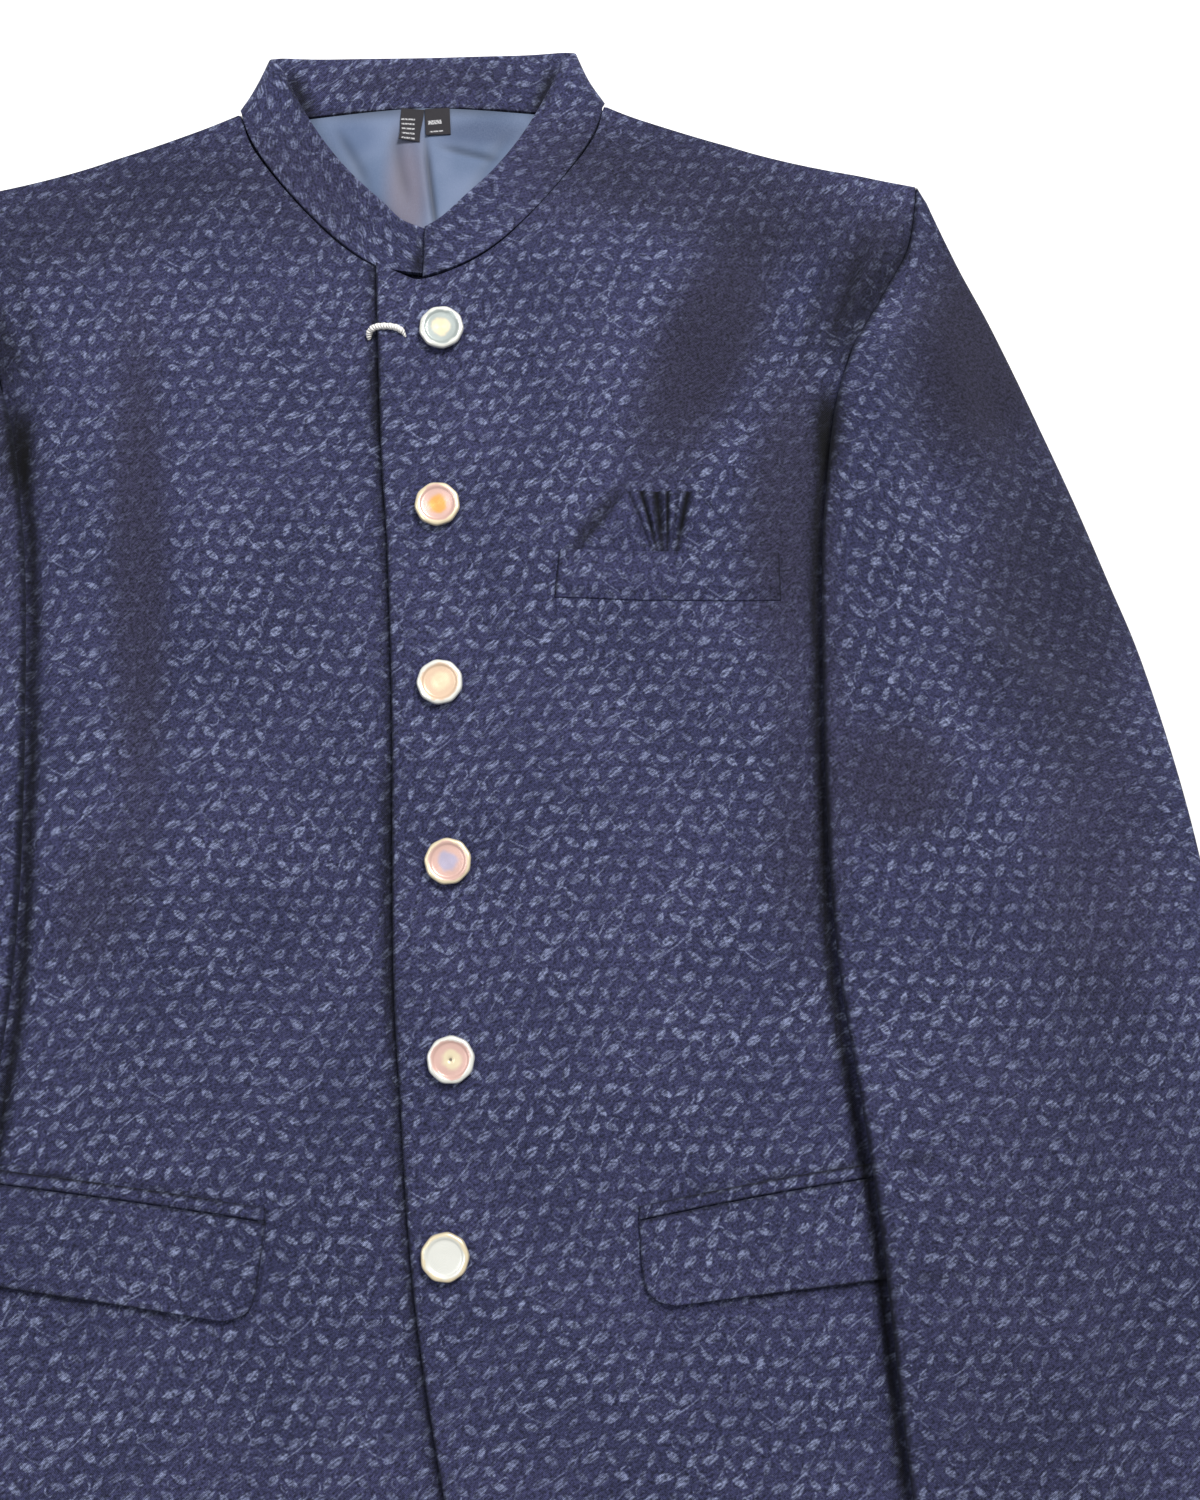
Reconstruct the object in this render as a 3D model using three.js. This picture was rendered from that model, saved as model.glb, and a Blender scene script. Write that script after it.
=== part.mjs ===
// A bandhgala jacket laid flat on its back, front up, in millimetres.
// X runs to the wearer's left, Y from hem to collar, Z up from the surface that it lies on.
import * as THREE from 'three';

// Driving sizes
const LENGTH = 761.5;
const NECK_SEAM = 366.8;
const HEM = NECK_SEAM - LENGTH;
const CLOTH = 3;
const SLEEVE_CLOTH = 2.4;
const COLLAR_CLOTH = 3.2;
const LINING = 1.5;
const LABEL = 1;
const FLAP = 2.2;
const JET = 1.5;
const SQUARE_CLOTH = 1.2;
const SEAM = 0.3;

// How far the fronts rise
const CHEST_RISE = 2;
const SHOULDER_PAD = 6;
const neckLift = { height: 1.8, centreY: 345, radius: 88, fade: 50 };
const LAP = 42;
const LAP_END = 56;
const LAP_SLOPE = 44;

// How the sleeves lie over the sides of the body
const REST_GAP = 0.6;
const SLEEVE_LOFT = 2.4;
const DROP_START = 14;
const DROP = 26;
const HEAD_END = 266;
const HEAD_LENGTH = 30;
const pocketLift = { height: 4, x: 236, fadeX: 24, y: -152, halfY: 44, fadeY: 40 };
const EDGE_ROUND = 0.3;
const MOST_ROUND = 1.1;
const CROWN_REACH = 50;

const CLOTH_COLOUR = 0x2c3052;
const LINING_COLOUR = 0x7a8fae;
const LABEL_COLOUR = 0x15151a;
const BUTTON_COLOUR = 0xc9c8c4;

// Outlines of the wearer's left half, each from its first end to its last
const neckline = [
  { x: 0, y: 275 }, { x: 20, y: 282 }, { x: 37, y: 293 }, { x: 55, y: 311 },
  { x: 71, y: 330.5 }, { x: 82, y: 347 }, { x: 86.7, y: 361 },
];
const shoulder = [
  { x: 87.5, y: 362.5 }, { x: 104, y: 356.4 }, { x: 133, y: 346.6 }, { x: 147, y: 341.9 },
  { x: 161, y: 336.9 }, { x: 189, y: 327.7 }, { x: 205, y: 323 }, { x: 219, y: 319.2 },
  { x: 234, y: 316.4 },
];
const backNeck = [{ x: 0, y: NECK_SEAM }, { x: 54, y: 362.8 }, { x: 87.5, y: 362.5 }];
const armhole = [
  { x: 234, y: 316.4 }, { x: 229, y: 287.4 }, { x: 217.7, y: 267 }, { x: 206.4, y: 247.9 },
  { x: 198.2, y: 232 }, { x: 195, y: 205 }, { x: 198, y: 170 }, { x: 208, y: 135 },
  { x: 226, y: 103 }, { x: 263.5, y: 70 },
];
const sideSeam = [{ x: 263.5, y: 70 }, { x: 253, y: -66 }, { x: 268, y: HEM }];

// Front edges from the hem up: the lap that shows, and the one under it, mirrored
const lapEdge = [
  { x: 110, y: HEM }, { x: 80, y: -388.5 }, { x: 50, y: -376 }, { x: 30, y: -354 },
  { x: 19, y: -325 }, { x: 11, y: -285 }, { x: 2.5, y: -238 }, { x: -4.3, y: -193 },
  { x: -8.1, y: -154 }, { x: -11.1, y: -105 }, { x: -13.9, y: -55 }, { x: -14.4, y: 8 },
  { x: -14.6, y: 65 }, { x: -16.7, y: 143 }, { x: -19.4, y: 188 }, { x: -21, y: 247 },
  { x: -22, y: 284 },
];
const underEdge = [
  { x: 60, y: HEM }, { x: 28, y: -389 }, { x: -5, y: -377 }, { x: -26, y: -356 },
  { x: -38, y: -328 }, { x: -LAP, y: -290 }, { x: -LAP, y: 0 }, { x: -LAP, y: 297.6 },
];

// Where each front's neck edge starts, at its front edge
const lapNeck = [{ x: -22, y: 284 }, { x: -10, y: 277.8 }];
const underNeck = [{ x: -LAP, y: 297.6 }, { x: -20, y: 282 }];

// Sleeve sections from the shoulder to the cuff: the inner and the outer edge of each
const SEAM_SECTIONS = 5;
const sleeveSections = [
  { innerX: 234, innerY: 316.4, outerX: 238.7, outerY: 307.8 },
  { innerX: 229, innerY: 287.4, outerX: 251.6, outerY: 279.2 },
  { innerX: 217.7, innerY: 267, outerX: 263.6, outerY: 254 },
  { innerX: 206.4, innerY: 247.9, outerX: 275, outerY: 226 },
  { innerX: 198.2, innerY: 232, outerX: 285.5, outerY: 198 },
  { innerX: 190.5, innerY: 208, outerX: 300, outerY: 158.5 },
  { innerX: 184.8, innerY: 172, outerX: 312, outerY: 123 },
  { innerX: 180.8, innerY: 134, outerX: 323.5, outerY: 88 },
  { innerX: 178.4, innerY: 69, outerX: 335.5, outerY: 38 },
  { innerX: 177.6, innerY: 4, outerX: 343.5, outerY: -8 },
  { innerX: 179.6, innerY: -48, outerX: 348, outerY: -54 },
  { innerX: 184, innerY: -89, outerX: 349, outerY: -94 },
  { innerX: 190.6, innerY: -149, outerX: 347, outerY: -152 },
  { innerX: 195.6, innerY: -216, outerX: 342.8, outerY: -218 },
  { innerX: 201.4, innerY: -290, outerX: 338.7, outerY: -293 },
];

// Collar stations from the front end to the middle of the back: seam edge, free edge,
// and the middle heights of the wearer's left half and of the right half, which lies under
const collarStations = [
  { seamX: 0, seamY: 275.6, freeX: 1, freeY: 301.5, left: 10.5, right: 6.9, rise: 0 },
  { seamX: 19.6, seamY: 282.6, freeX: 9.5, freeY: 307, left: 10.3, right: 6.9, rise: 0.2 },
  { seamX: 36.4, seamY: 293.6, freeX: 19, freeY: 316.2, left: 9.8, right: 7.2, rise: 0.6 },
  { seamX: 54.3, seamY: 311.5, freeX: 33, freeY: 329.8, left: 9.1, right: 7.8, rise: 1 },
  { seamX: 69.8, seamY: 331.2, freeX: 44.5, freeY: 344, left: 8.5, right: 8.2, rise: 1.3 },
  { seamX: 80.2, seamY: 347.8, freeX: 53.5, freeY: 358, left: 8.4, right: 8.4, rise: 1.3 },
  { seamX: 84.3, seamY: 358.4, freeX: 61, freeY: 372, left: 8.5, right: 8.5, rise: 1.1 },
  { seamX: 84.2, seamY: 362, freeX: 67.2, freeY: 385.4, left: 8.5, right: 8.5, rise: 0.9 },
  { seamX: 84.4, seamY: 365, freeX: 71.4, freeY: 391.6, left: 5.6, right: 5.6, rise: 0.9 },
  { seamX: 81, seamY: 364.4, freeX: 68, freeY: 394.2, left: 2.4, right: 2.4, rise: 1 },
  { seamX: 60, seamY: 363.4, freeX: 51, freeY: 394.4, left: 1.8, right: 1.8, rise: 1 },
  { seamX: 30, seamY: 366, freeX: 26, freeY: 394.2, left: 1.8, right: 1.8, rise: 1 },
  { seamX: 0, seamY: 367.3, freeX: 0, freeY: 394, left: 1.8, right: 1.8, rise: 1 },
];
const collarTuck = { x: 5, seamY: 278.6, freeY: 301 };
const lining = { topHalf: 58, topSideY: 361.6, bottomHalf: 20, bottomY: 290, sag: 4 };
const labels = [
  { name: 'label_care', x: -5.8, width: 11, depth: 17, turn: -6 },
  { name: 'label_size', x: 7, width: 12, depth: 14, turn: 2 },
];

// Broad soft folds of the fronts, each a ridge about its middle
const folds = [
  { x: 122, y: 262, length: 46, width: 26, height: 1.4, lean: 12 },
  { x: 168, y: 30, length: 120, width: 30, height: 1.2, lean: 4 },
  { x: -104, y: 150, length: 120, width: 26, height: 1.5, lean: -6 },
  { x: -160, y: -40, length: 130, width: 30, height: 1.2, lean: -3 },
];

const buttonPlaces = [
  { x: 9, y: 249 }, { x: 6.5, y: 164 }, { x: 7.2, y: 81 },
  { x: 10.3, y: 0.5 }, { x: 11, y: -85 }, { x: 8, y: -166.5 },
];
const BUTTON_SEAT = 3.4;
const BUTTON_SIDES = 18;
const buttonProfile = [
  { r: 0, z: 0 }, { r: 3, z: 0 }, { r: 3, z: 1.3 }, { r: 8.8, z: 1.5 }, { r: 10.25, z: 2.6 },
  { r: 9.9, z: 3.7 }, { r: 8.9, z: 4.3 }, { r: 7.9, z: 4.2 }, { r: 7.1, z: 3.6 },
  { r: 3.5, z: 3.5 }, { r: 0, z: 3.4 },
];

// Pockets
const welt = { left: 59, right: 161.5, bottomY: 119.3, topY: 141.4, fall: 0.031, lean: 3 };
const square = { left: 69, right: 150, topLeft: 92, topRight: 124, height: 28.5 };
const pleats = { count: 5, from: 0.34, to: 0.8, height: 2.2 };

// Flaps: the front end and top edge, how both long edges climb outward, the depth at the
// front end, how far the top edge bows up and the front end leans
const flaps = [
  {
    name: 'left', side: 1, frontX: 90, topY: -154.2,
    rise: 0.139, lowRise: 0.095, depth: 35.6, bow: 1.8, lean: 1.2,
  },
  {
    name: 'right', side: -1, frontX: 68.6, topY: -151.3,
    rise: 0.157, lowRise: 0.159, depth: 40.6, bow: 0.8, lean: 3.5,
  },
];
const FLAP_LENGTH = 142;
const JET_WIDTH = 5.6;
const flapCorner = { width: 13, midX: 4, midY: 4, lowY: 1 };

// Smooth step from 0 to 1
function step(t) {
  const c = Math.min(1, Math.max(0, t));
  return c * c * (3 - 2 * c);
}

// Bell-shaped bump, 1 at its middle
function bell(dx, dy, width, height) {
  return Math.exp(-((dx / width) ** 2) - (dy / height) ** 2);
}

function spline(points) {
  return new THREE.SplineCurve(points.map((p) => new THREE.Vector2(p.x, p.y)));
}

// Points of a spline, a fixed number of steps between each two of its own points
function stepsOf(points, perSpan) {
  const count = (points.length - 1) * perSpan;
  return spline(points).getPoints(count);
}

// Parameters from 0 to 1 with a narrow first and last step, for a rounded edge
function spread(count, edge) {
  const inner = Array.from({ length: count - 1 }, (_, i) => (i + 1) / count);
  return [0, edge, ...inner, 1 - edge, 1];
}

function along(points, parameters) {
  const curve = spline(points);
  return parameters.map((t) => curve.getPointAt(t));
}

// Heights of the layers, from the surface up
function padding(x, y) {
  return SHOULDER_PAD * bell(Math.abs(x) - 216, y - 313, 38, 46);
}

function frontThickness(x, y) {
  return CLOTH + CHEST_RISE * bell(Math.abs(x) - 110, y - 180, 70, 110) + padding(x, y);
}

function foldRise(x, y) {
  let rise = 0;
  for (const fold of folds) {
    const lean = THREE.MathUtils.degToRad(fold.lean);
    const dx = x - fold.x;
    const dy = y - fold.y;
    const across = dx * Math.cos(lean) + dy * Math.sin(lean);
    const down = dy * Math.cos(lean) - dx * Math.sin(lean);
    rise += fold.height * bell(across, down, fold.width, fold.length);
  }
  return rise;
}

function underFrontLow(x, y) {
  const { height, centreY, radius, fade } = neckLift;
  const fromNeck = Math.hypot(x, y - centreY);
  return CLOTH + SEAM + height * (1 - step((fromNeck - radius) / fade)) + foldRise(x, y);
}

function underFrontHigh(x, y) {
  return underFrontLow(x, y) + frontThickness(x, y);
}

function lapFrontLow(x, y) {
  const lift = 1 - step((x - LAP_END) / LAP_SLOPE);
  return underFrontLow(x, y) + lift * (frontThickness(x, y) + SEAM);
}

function lapFrontHigh(x, y) {
  return lapFrontLow(x, y) + frontThickness(x, y);
}

// Height of the fronts as one surface: the lapping front from its edge on
function frontTop(x, y) {
  return x > -LAP ? lapFrontHigh(x, y) : underFrontHigh(x, y);
}

// Outline of half the body, from the shoulder's tip to the hem, and its half width at a height
const ARMHOLE_STEPS = 2;
const SIDE_STEPS = 9;
const armholePoints = stepsOf(armhole, ARMHOLE_STEPS);
const sidePoints = along(sideSeam, spread(SIDE_STEPS, 0.012));
const bodyOutline = [...armholePoints, ...sidePoints.slice(1)];

function bodyHalfWidth(y) {
  for (let i = 1; i < bodyOutline.length; i += 1) {
    const above = bodyOutline[i - 1];
    const below = bodyOutline[i];
    if (y >= below.y) {
      const t = (above.y - y) / (above.y - below.y);
      return above.x + t * (below.x - above.x);
    }
  }
  return bodyOutline[bodyOutline.length - 1].x;
}

// Height that the underside of a sleeve rests at
function sleeveRest(x, y) {
  const out = Math.abs(x);
  const overX = 1 - step((out - pocketLift.x) / pocketLift.fadeX);
  const overY = 1 - step((Math.abs(y - pocketLift.y) - pocketLift.halfY) / pocketLift.fadeY);
  const onBody = frontTop(x, y) + REST_GAP + pocketLift.height * overX * overY;
  const fall = 1 - step((out - bodyHalfWidth(y) - DROP_START) / DROP);
  const lift = step((HEAD_END - y) / HEAD_LENGTH);
  return onBody * fall * lift;
}

// Inner points of a four-sided patch between its four edges
function patch(bottom, top, left, right) {
  const columns = bottom.length - 1;
  const rows = left.length - 1;
  const grid = [];
  for (let j = 0; j <= rows; j += 1) {
    const v = j / rows;
    const row = [];
    for (let i = 0; i <= columns; i += 1) {
      const u = i / columns;
      const point = new THREE.Vector2();
      point.addScaledVector(bottom[i], 1 - v).addScaledVector(top[i], v);
      point.addScaledVector(left[j], 1 - u).addScaledVector(right[j], u);
      point.addScaledVector(bottom[0], -(1 - u) * (1 - v)).addScaledVector(bottom[columns], -u * (1 - v));
      point.addScaledVector(top[0], -(1 - u) * v).addScaledVector(top[columns], -u * v);
      row.push(point);
    }
    grid.push(row);
  }
  return grid;
}

function onRim(grid, j, i) {
  return j === 0 || i === 0 || j === grid.length - 1 || i === grid[0].length - 1;
}

// The two faces of a flat wall between two heights, its upper rim rounded off
function layer(grid, low, high, round = EDGE_ROUND) {
  const outer = grid.map((row, j) => row.map((p, i) => {
    const bottom = low(p.x, p.y);
    const top = high(p.x, p.y);
    const z = onRim(grid, j, i) ? top - Math.min(MOST_ROUND, (top - bottom) * round) : top;
    return new THREE.Vector3(p.x, p.y, z);
  }));
  const inner = grid.map((row) => row.map((p) => new THREE.Vector3(p.x, p.y, low(p.x, p.y))));
  return { outer, inner };
}

// A closed wall from its outer and inner grids of points
function wall({ outer, inner }) {
  const rows = outer.length;
  const columns = outer[0].length;
  const positions = [];
  for (const grid of [outer, inner]) {
    for (const row of grid) for (const p of row) positions.push(p.x, p.y, p.z);
  }
  const at = (face, j, i) => face * rows * columns + j * columns + i;
  const index = [];
  const quad = (a, b, c, d) => index.push(a, b, c, a, c, d);
  for (let j = 0; j < rows - 1; j += 1) {
    for (let i = 0; i < columns - 1; i += 1) {
      quad(at(0, j, i), at(0, j, i + 1), at(0, j + 1, i + 1), at(0, j + 1, i));
      quad(at(1, j, i), at(1, j + 1, i), at(1, j + 1, i + 1), at(1, j, i + 1));
    }
  }
  for (let i = 0; i < columns - 1; i += 1) {
    const last = rows - 1;
    quad(at(0, 0, i), at(1, 0, i), at(1, 0, i + 1), at(0, 0, i + 1));
    quad(at(0, last, i), at(0, last, i + 1), at(1, last, i + 1), at(1, last, i));
  }
  for (let j = 0; j < rows - 1; j += 1) {
    const last = columns - 1;
    quad(at(0, j, 0), at(0, j + 1, 0), at(1, j + 1, 0), at(1, j, 0));
    quad(at(0, j, last), at(1, j, last), at(1, j + 1, last), at(0, j + 1, last));
  }
  const geometry = new THREE.BufferGeometry();
  geometry.setAttribute('position', new THREE.Float32BufferAttribute(positions, 3));
  geometry.setIndex(volumeOf(positions, index) < 0 ? index.reverse() : index);
  geometry.computeVertexNormals();
  return geometry;
}

function volumeOf(positions, index) {
  const corner = (k) => new THREE.Vector3().fromArray(positions, 3 * index[k]);
  let volume = 0;
  for (let k = 0; k < index.length; k += 3) {
    volume += corner(k).dot(corner(k + 1).cross(corner(k + 2))) / 6;
  }
  return volume;
}

const group = new THREE.Group();

function add(name, geometry, color = CLOTH_COLOUR, roughness = 0.85, metalness = 0) {
  const mesh = new THREE.Mesh(geometry, new THREE.MeshStandardMaterial({ color, roughness, metalness }));
  mesh.name = name;
  group.add(mesh);
  return mesh;
}

function mirrored(grid) {
  return grid.map((row) => row.map((p) => new THREE.Vector2(-p.x, p.y)));
}

// Panels of the body
const rightEdge = [...bodyOutline].reverse();
const HEM_CORNER_CROWDING = 1.3;
const edgeHeight = rightEdge[rightEdge.length - 1].y - HEM;
const heightShares = rightEdge.map((p) => ((p.y - HEM) / edgeHeight) ** HEM_CORNER_CROWDING);

function frontGrid(frontEdge, neckFrom) {
  const neck = along([...neckFrom, ...neckline], spread(7, 0.02)).slice(0, -2);
  const top = [...neck, ...along(shoulder, spread(6, 0.02)).slice(2)];
  top.splice(neck.length, 0, new THREE.Vector2(shoulder[0].x, shoulder[0].y));
  const left = along(frontEdge, heightShares);
  const hemEnds = [frontEdge[0], sideSeam[sideSeam.length - 1]];
  const bottom = along(hemEnds, spread(top.length - 3, 0.02));
  return patch(bottom, top, left, rightEdge);
}

function makeBack() {
  const neck = along(backNeck, [0, 0.33, 0.66, 1]);
  const top = [...neck, ...along(shoulder, [0.33, 0.66, 1])];
  const fullTop = [...top.slice(1).reverse().map((p) => new THREE.Vector2(-p.x, p.y)), ...top];
  const hemEnd = sideSeam[sideSeam.length - 1].x;
  const bottom = fullTop.map((p, i) => {
    const share = i / (fullTop.length - 1);
    return new THREE.Vector2(hemEnd * (2 * share - 1), HEM);
  });
  const left = rightEdge.map((p) => new THREE.Vector2(-p.x, p.y));
  const grid = patch(bottom, fullTop, left, rightEdge);
  add('back', wall(layer(grid, () => 0, () => CLOTH, 0)));
}

function makeFronts() {
  const lap = frontGrid(lapEdge, lapNeck);
  add('front_left', wall(layer(lap, lapFrontLow, lapFrontHigh)));
  const under = frontGrid(underEdge, underNeck);
  add('front_right', wall(layer(mirrored(under), underFrontLow, underFrontHigh)));
}

function makeLining() {
  const low = CLOTH + SEAM;
  const { topHalf, topSideY, bottomHalf, bottomY } = lining;
  const corner = (x, y) => new THREE.Vector2(x, y);
  const grid = [
    [corner(-bottomHalf, bottomY), corner(0, bottomY - lining.sag), corner(bottomHalf, bottomY)],
    [corner(-topHalf, topSideY), corner(0, NECK_SEAM - SEAM), corner(topHalf, topSideY)],
  ];
  add('lining_back', wall(layer(grid, () => low, () => low + LINING, 0)), LINING_COLOUR, 0.35);
}

function makeLabels() {
  const low = CLOTH + 2 * SEAM + LINING;
  for (const { name, x, width, depth, turn } of labels) {
    const geometry = new THREE.BoxGeometry(width, depth, LABEL);
    const label = add(name, geometry, LABEL_COLOUR, 0.7);
    label.rotation.z = THREE.MathUtils.degToRad(turn);
    label.position.set(x, NECK_SEAM - 1 - depth / 2, low + LABEL / 2);
  }
}

// The collar's strip round the neck, thick to both sides of its middle surface
function makeCollar() {
  const half = (side) => collarStations.map((s) => ({
    seam: new THREE.Vector3(side * s.seamX, s.seamY + SEAM, side > 0 ? s.left : s.right),
    free: new THREE.Vector3(side * s.freeX, s.freeY, (side > 0 ? s.left : s.right) + s.rise),
  }));
  const right = half(-1);
  right[0].seam.set(collarTuck.x, collarTuck.seamY, right[0].seam.z);
  right[0].free.set(collarTuck.x, collarTuck.freeY, right[0].free.z);
  const stations = [...right, ...half(1).reverse().slice(1)];
  const seam = new THREE.CatmullRomCurve3(stations.map((s) => s.seam), false, 'centripetal');
  const free = new THREE.CatmullRomCurve3(stations.map((s) => s.free), false, 'centripetal');
  const steps = 3 * (stations.length - 1);
  const shares = [0, 0.1, 0.9, 1];
  const middle = [];
  for (let k = 0; k <= steps; k += 1) {
    const a = seam.getPoint(k / steps);
    const b = free.getPoint(k / steps);
    middle.push(shares.map((share) => a.clone().lerp(b, share)));
  }
  const faces = { outer: [], inner: [] };
  middle.forEach((row, k) => {
    const before = middle[Math.max(0, k - 1)];
    const after = middle[Math.min(steps, k + 1)];
    const outerRow = [];
    const innerRow = [];
    row.forEach((p, i) => {
      const forward = after[i].clone().sub(before[i]);
      const up = row[shares.length - 1].clone().sub(row[0]);
      const rim = i === 0 || i === shares.length - 1;
      const half = (COLLAR_CLOTH / 2) * (rim ? 1 - EDGE_ROUND : 1);
      const normal = forward.cross(up).normalize().multiplyScalar(half);
      outerRow.push(p.clone().add(normal));
      innerRow.push(p.clone().sub(normal));
    });
    faces.outer.push(outerRow);
    faces.inner.push(innerRow);
  });
  add('collar', wall(faces));
}

// One sleeve: a wall under and a wall over, which meet at the folds
function makeSleeve(side, name) {
  const inner = stepsOf(sleeveSections.map((s) => ({ x: s.innerX, y: s.innerY })), 2);
  const outer = stepsOf(sleeveSections.map((s) => ({ x: s.outerX, y: s.outerY })), 2);
  const seamRows = 2 * (SEAM_SECTIONS - 1);
  const shares = spread(7, 0.03);
  const grid = inner.map((point, k) => {
    const start = k <= seamRows ? armholePoints[k].clone() : point;
    if (k <= seamRows) start.x += 2 * SEAM;
    return shares.map((share) => start.clone().lerp(outer[k], share));
  });
  const placed = side > 0 ? grid : mirrored(grid);
  const under = { outer: [], inner: [] };
  const over = { outer: [], inner: [] };
  placed.forEach((row, k) => {
    const width = row[0].distanceTo(row[row.length - 1]);
    const loft = SLEEVE_LOFT * Math.min(1, width / 110);
    const levels = row.map((p, i) => {
      const rim = i === 0 || i === row.length - 1;
      const share = shares[i];
      const rest = sleeveRest(p.x, p.y);
      const gap = SEAM + loft * Math.sqrt(Math.sin(Math.PI * share));
      const round = rim ? EDGE_ROUND * SLEEVE_CLOTH : 0;
      const underTop = rest + SLEEVE_CLOTH;
      const overLow = underTop + gap;
      const plain = overLow + SLEEVE_CLOTH + padding(p.x, p.y);
      const crown = 1 - step((Math.abs(p.x) - bodyHalfWidth(p.y)) / CROWN_REACH);
      const overTop = plain + crown * Math.max(0, frontTop(p.x, p.y) - plain);
      return { low: rest + round, underTop, overLow, overTop: overTop - round };
    });
    const lifted = (key) => row.map((p, i) => new THREE.Vector3(p.x, p.y, levels[i][key]));
    under.outer.push(lifted('underTop'));
    under.inner.push(lifted('low'));
    over.outer.push(lifted('overTop'));
    over.inner.push(lifted('overLow'));
  });
  add(`sleeve_${name}_under`, wall(under));
  add(`sleeve_${name}_top`, wall(over));
}

// A piece that lies on a front, made from the front's own surface
function applied(name, grid, thickness, lift = () => 0, gap = SEAM) {
  const low = (x, y) => frontTop(x, y) + gap;
  const outer = grid.map((row, j) => row.map((p, i) => {
    const share = i / (row.length - 1);
    const rise = lift(share, j / (grid.length - 1));
    const rim = onRim(grid, j, i) ? EDGE_ROUND * thickness : 0;
    return new THREE.Vector3(p.x, p.y, low(p.x, p.y) + thickness + rise - rim);
  }));
  const inner = grid.map((row, j) => row.map((p, i) => {
    const share = i / (row.length - 1);
    return new THREE.Vector3(p.x, p.y, low(p.x, p.y) + lift(share, j / (grid.length - 1)));
  }));
  add(name, wall({ outer, inner }));
}

// Points between two ends, straight or bowed up in the middle
function straight(ax, ay, bx, by, parameters, bow = 0) {
  return parameters.map((t) => {
    const up = bow * Math.sin(Math.PI * t);
    return new THREE.Vector2(ax + t * (bx - ax), ay + t * (by - ay) + up);
  });
}

function makeChestPocket() {
  const drop = (welt.right - welt.left) * welt.fall;
  const columns = spread(5, 0.02);
  const rows = spread(3, 0.06);
  const bottom = straight(welt.left, welt.bottomY, welt.right, welt.bottomY - drop, columns);
  const top = straight(welt.left + welt.lean, welt.topY, welt.right, welt.topY - drop, columns);
  const left = straight(welt.left, welt.bottomY, welt.left + welt.lean, welt.topY, rows);
  const right = straight(welt.right, welt.bottomY - drop, welt.right, welt.topY - drop, rows);
  applied('pocket_welt', patch(bottom, top, left, right), FLAP);

  const base = (x) => welt.topY - (x - welt.left) * welt.fall + 2 * SEAM;
  const across = spread(24, 0.01);
  const up = spread(4, 0.04);
  const peak = base(square.topLeft) + square.height;
  const squareBottom = straight(square.left, base(square.left), square.right, base(square.right), across);
  const squareTop = straight(square.topLeft, peak, square.topRight, peak - 1, across);
  const squareLeft = straight(square.left, base(square.left), square.topLeft, peak, up);
  const squareRight = straight(square.right, base(square.right), square.topRight, peak - 1, up);
  const pleat = (u, v) => {
    const t = (u - pleats.from) / (pleats.to - pleats.from);
    if (t < 0 || t > 1) return 0;
    return pleats.height * v * (0.5 - 0.5 * Math.cos(2 * Math.PI * pleats.count * t));
  };
  const squareGrid = patch(squareBottom, squareTop, squareLeft, squareRight);
  applied('pocket_square', squareGrid, SQUARE_CLOTH, pleat, 2 * SEAM);
}

function makeFlaps() {
  for (const { name, side, frontX, topY, rise, lowRise, depth, bow, lean } of flaps) {
    const { width, midX, midY } = flapCorner;
    const end = frontX + FLAP_LENGTH;
    const endY = topY + FLAP_LENGTH * rise;
    const lowY = topY - depth;
    const lowEndY = lowY + FLAP_LENGTH * lowRise;
    const columns = spread(7, 0.015);
    const rows = spread(4, 0.05);
    const cornerY = lowY + flapCorner.lowY;
    const front = along([
      { x: frontX + lean + width, y: cornerY }, { x: frontX + lean + midX, y: lowY + midY },
      { x: frontX + lean, y: lowY + width }, { x: frontX, y: topY },
    ], rows);
    const bottom = straight(frontX + lean + width, cornerY, end, lowEndY, columns);
    const top = straight(frontX, topY, end, endY, columns, bow);
    const back = straight(end, lowEndY, end, endY, rows);
    const flap = patch(bottom, top, front, back);
    applied(`flap_${name}`, side > 0 ? flap : mirrored(flap), FLAP);

    const gap = 2 * SEAM;
    const jetRows = spread(2, 0.15);
    const strip = patch(
      straight(frontX, topY + gap, end, endY + gap, columns, bow),
      straight(frontX, topY + gap + JET_WIDTH, end, endY + gap + JET_WIDTH, columns, bow),
      straight(frontX, topY + gap, frontX, topY + gap + JET_WIDTH, jetRows),
      straight(end, endY + gap, end, endY + gap + JET_WIDTH, jetRows),
    );
    applied(`jet_${name}`, side > 0 ? strip : mirrored(strip), JET);
  }
}

function makeButtons() {
  const profile = buttonProfile.map((p) => new THREE.Vector2(p.r, p.z));
  buttonPlaces.forEach(({ x, y }, place) => {
    const geometry = new THREE.LatheGeometry(profile, BUTTON_SIDES);
    geometry.rotateX(Math.PI / 2);
    const button = add(`button_${place + 1}`, geometry, BUTTON_COLOUR, 0.25, 0.8);
    let seat = 0;
    for (let k = 0; k < BUTTON_SIDES; k += 1) {
      const angle = (k / BUTTON_SIDES) * 2 * Math.PI;
      const dx = BUTTON_SEAT * Math.cos(angle);
      const dy = BUTTON_SEAT * Math.sin(angle);
      seat = Math.max(seat, frontTop(x + dx, y + dy));
    }
    button.position.set(x, y, seat + SEAM);
  });
}

makeBack();
makeLining();
makeLabels();
makeFronts();
makeCollar();
makeSleeve(1, 'left');
makeSleeve(-1, 'right');
makeChestPocket();
makeFlaps();
makeButtons();

export default group;
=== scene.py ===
"""Looks of a bandhgala jacket laid flat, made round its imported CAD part. Tables are in millimetres."""
import math

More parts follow.
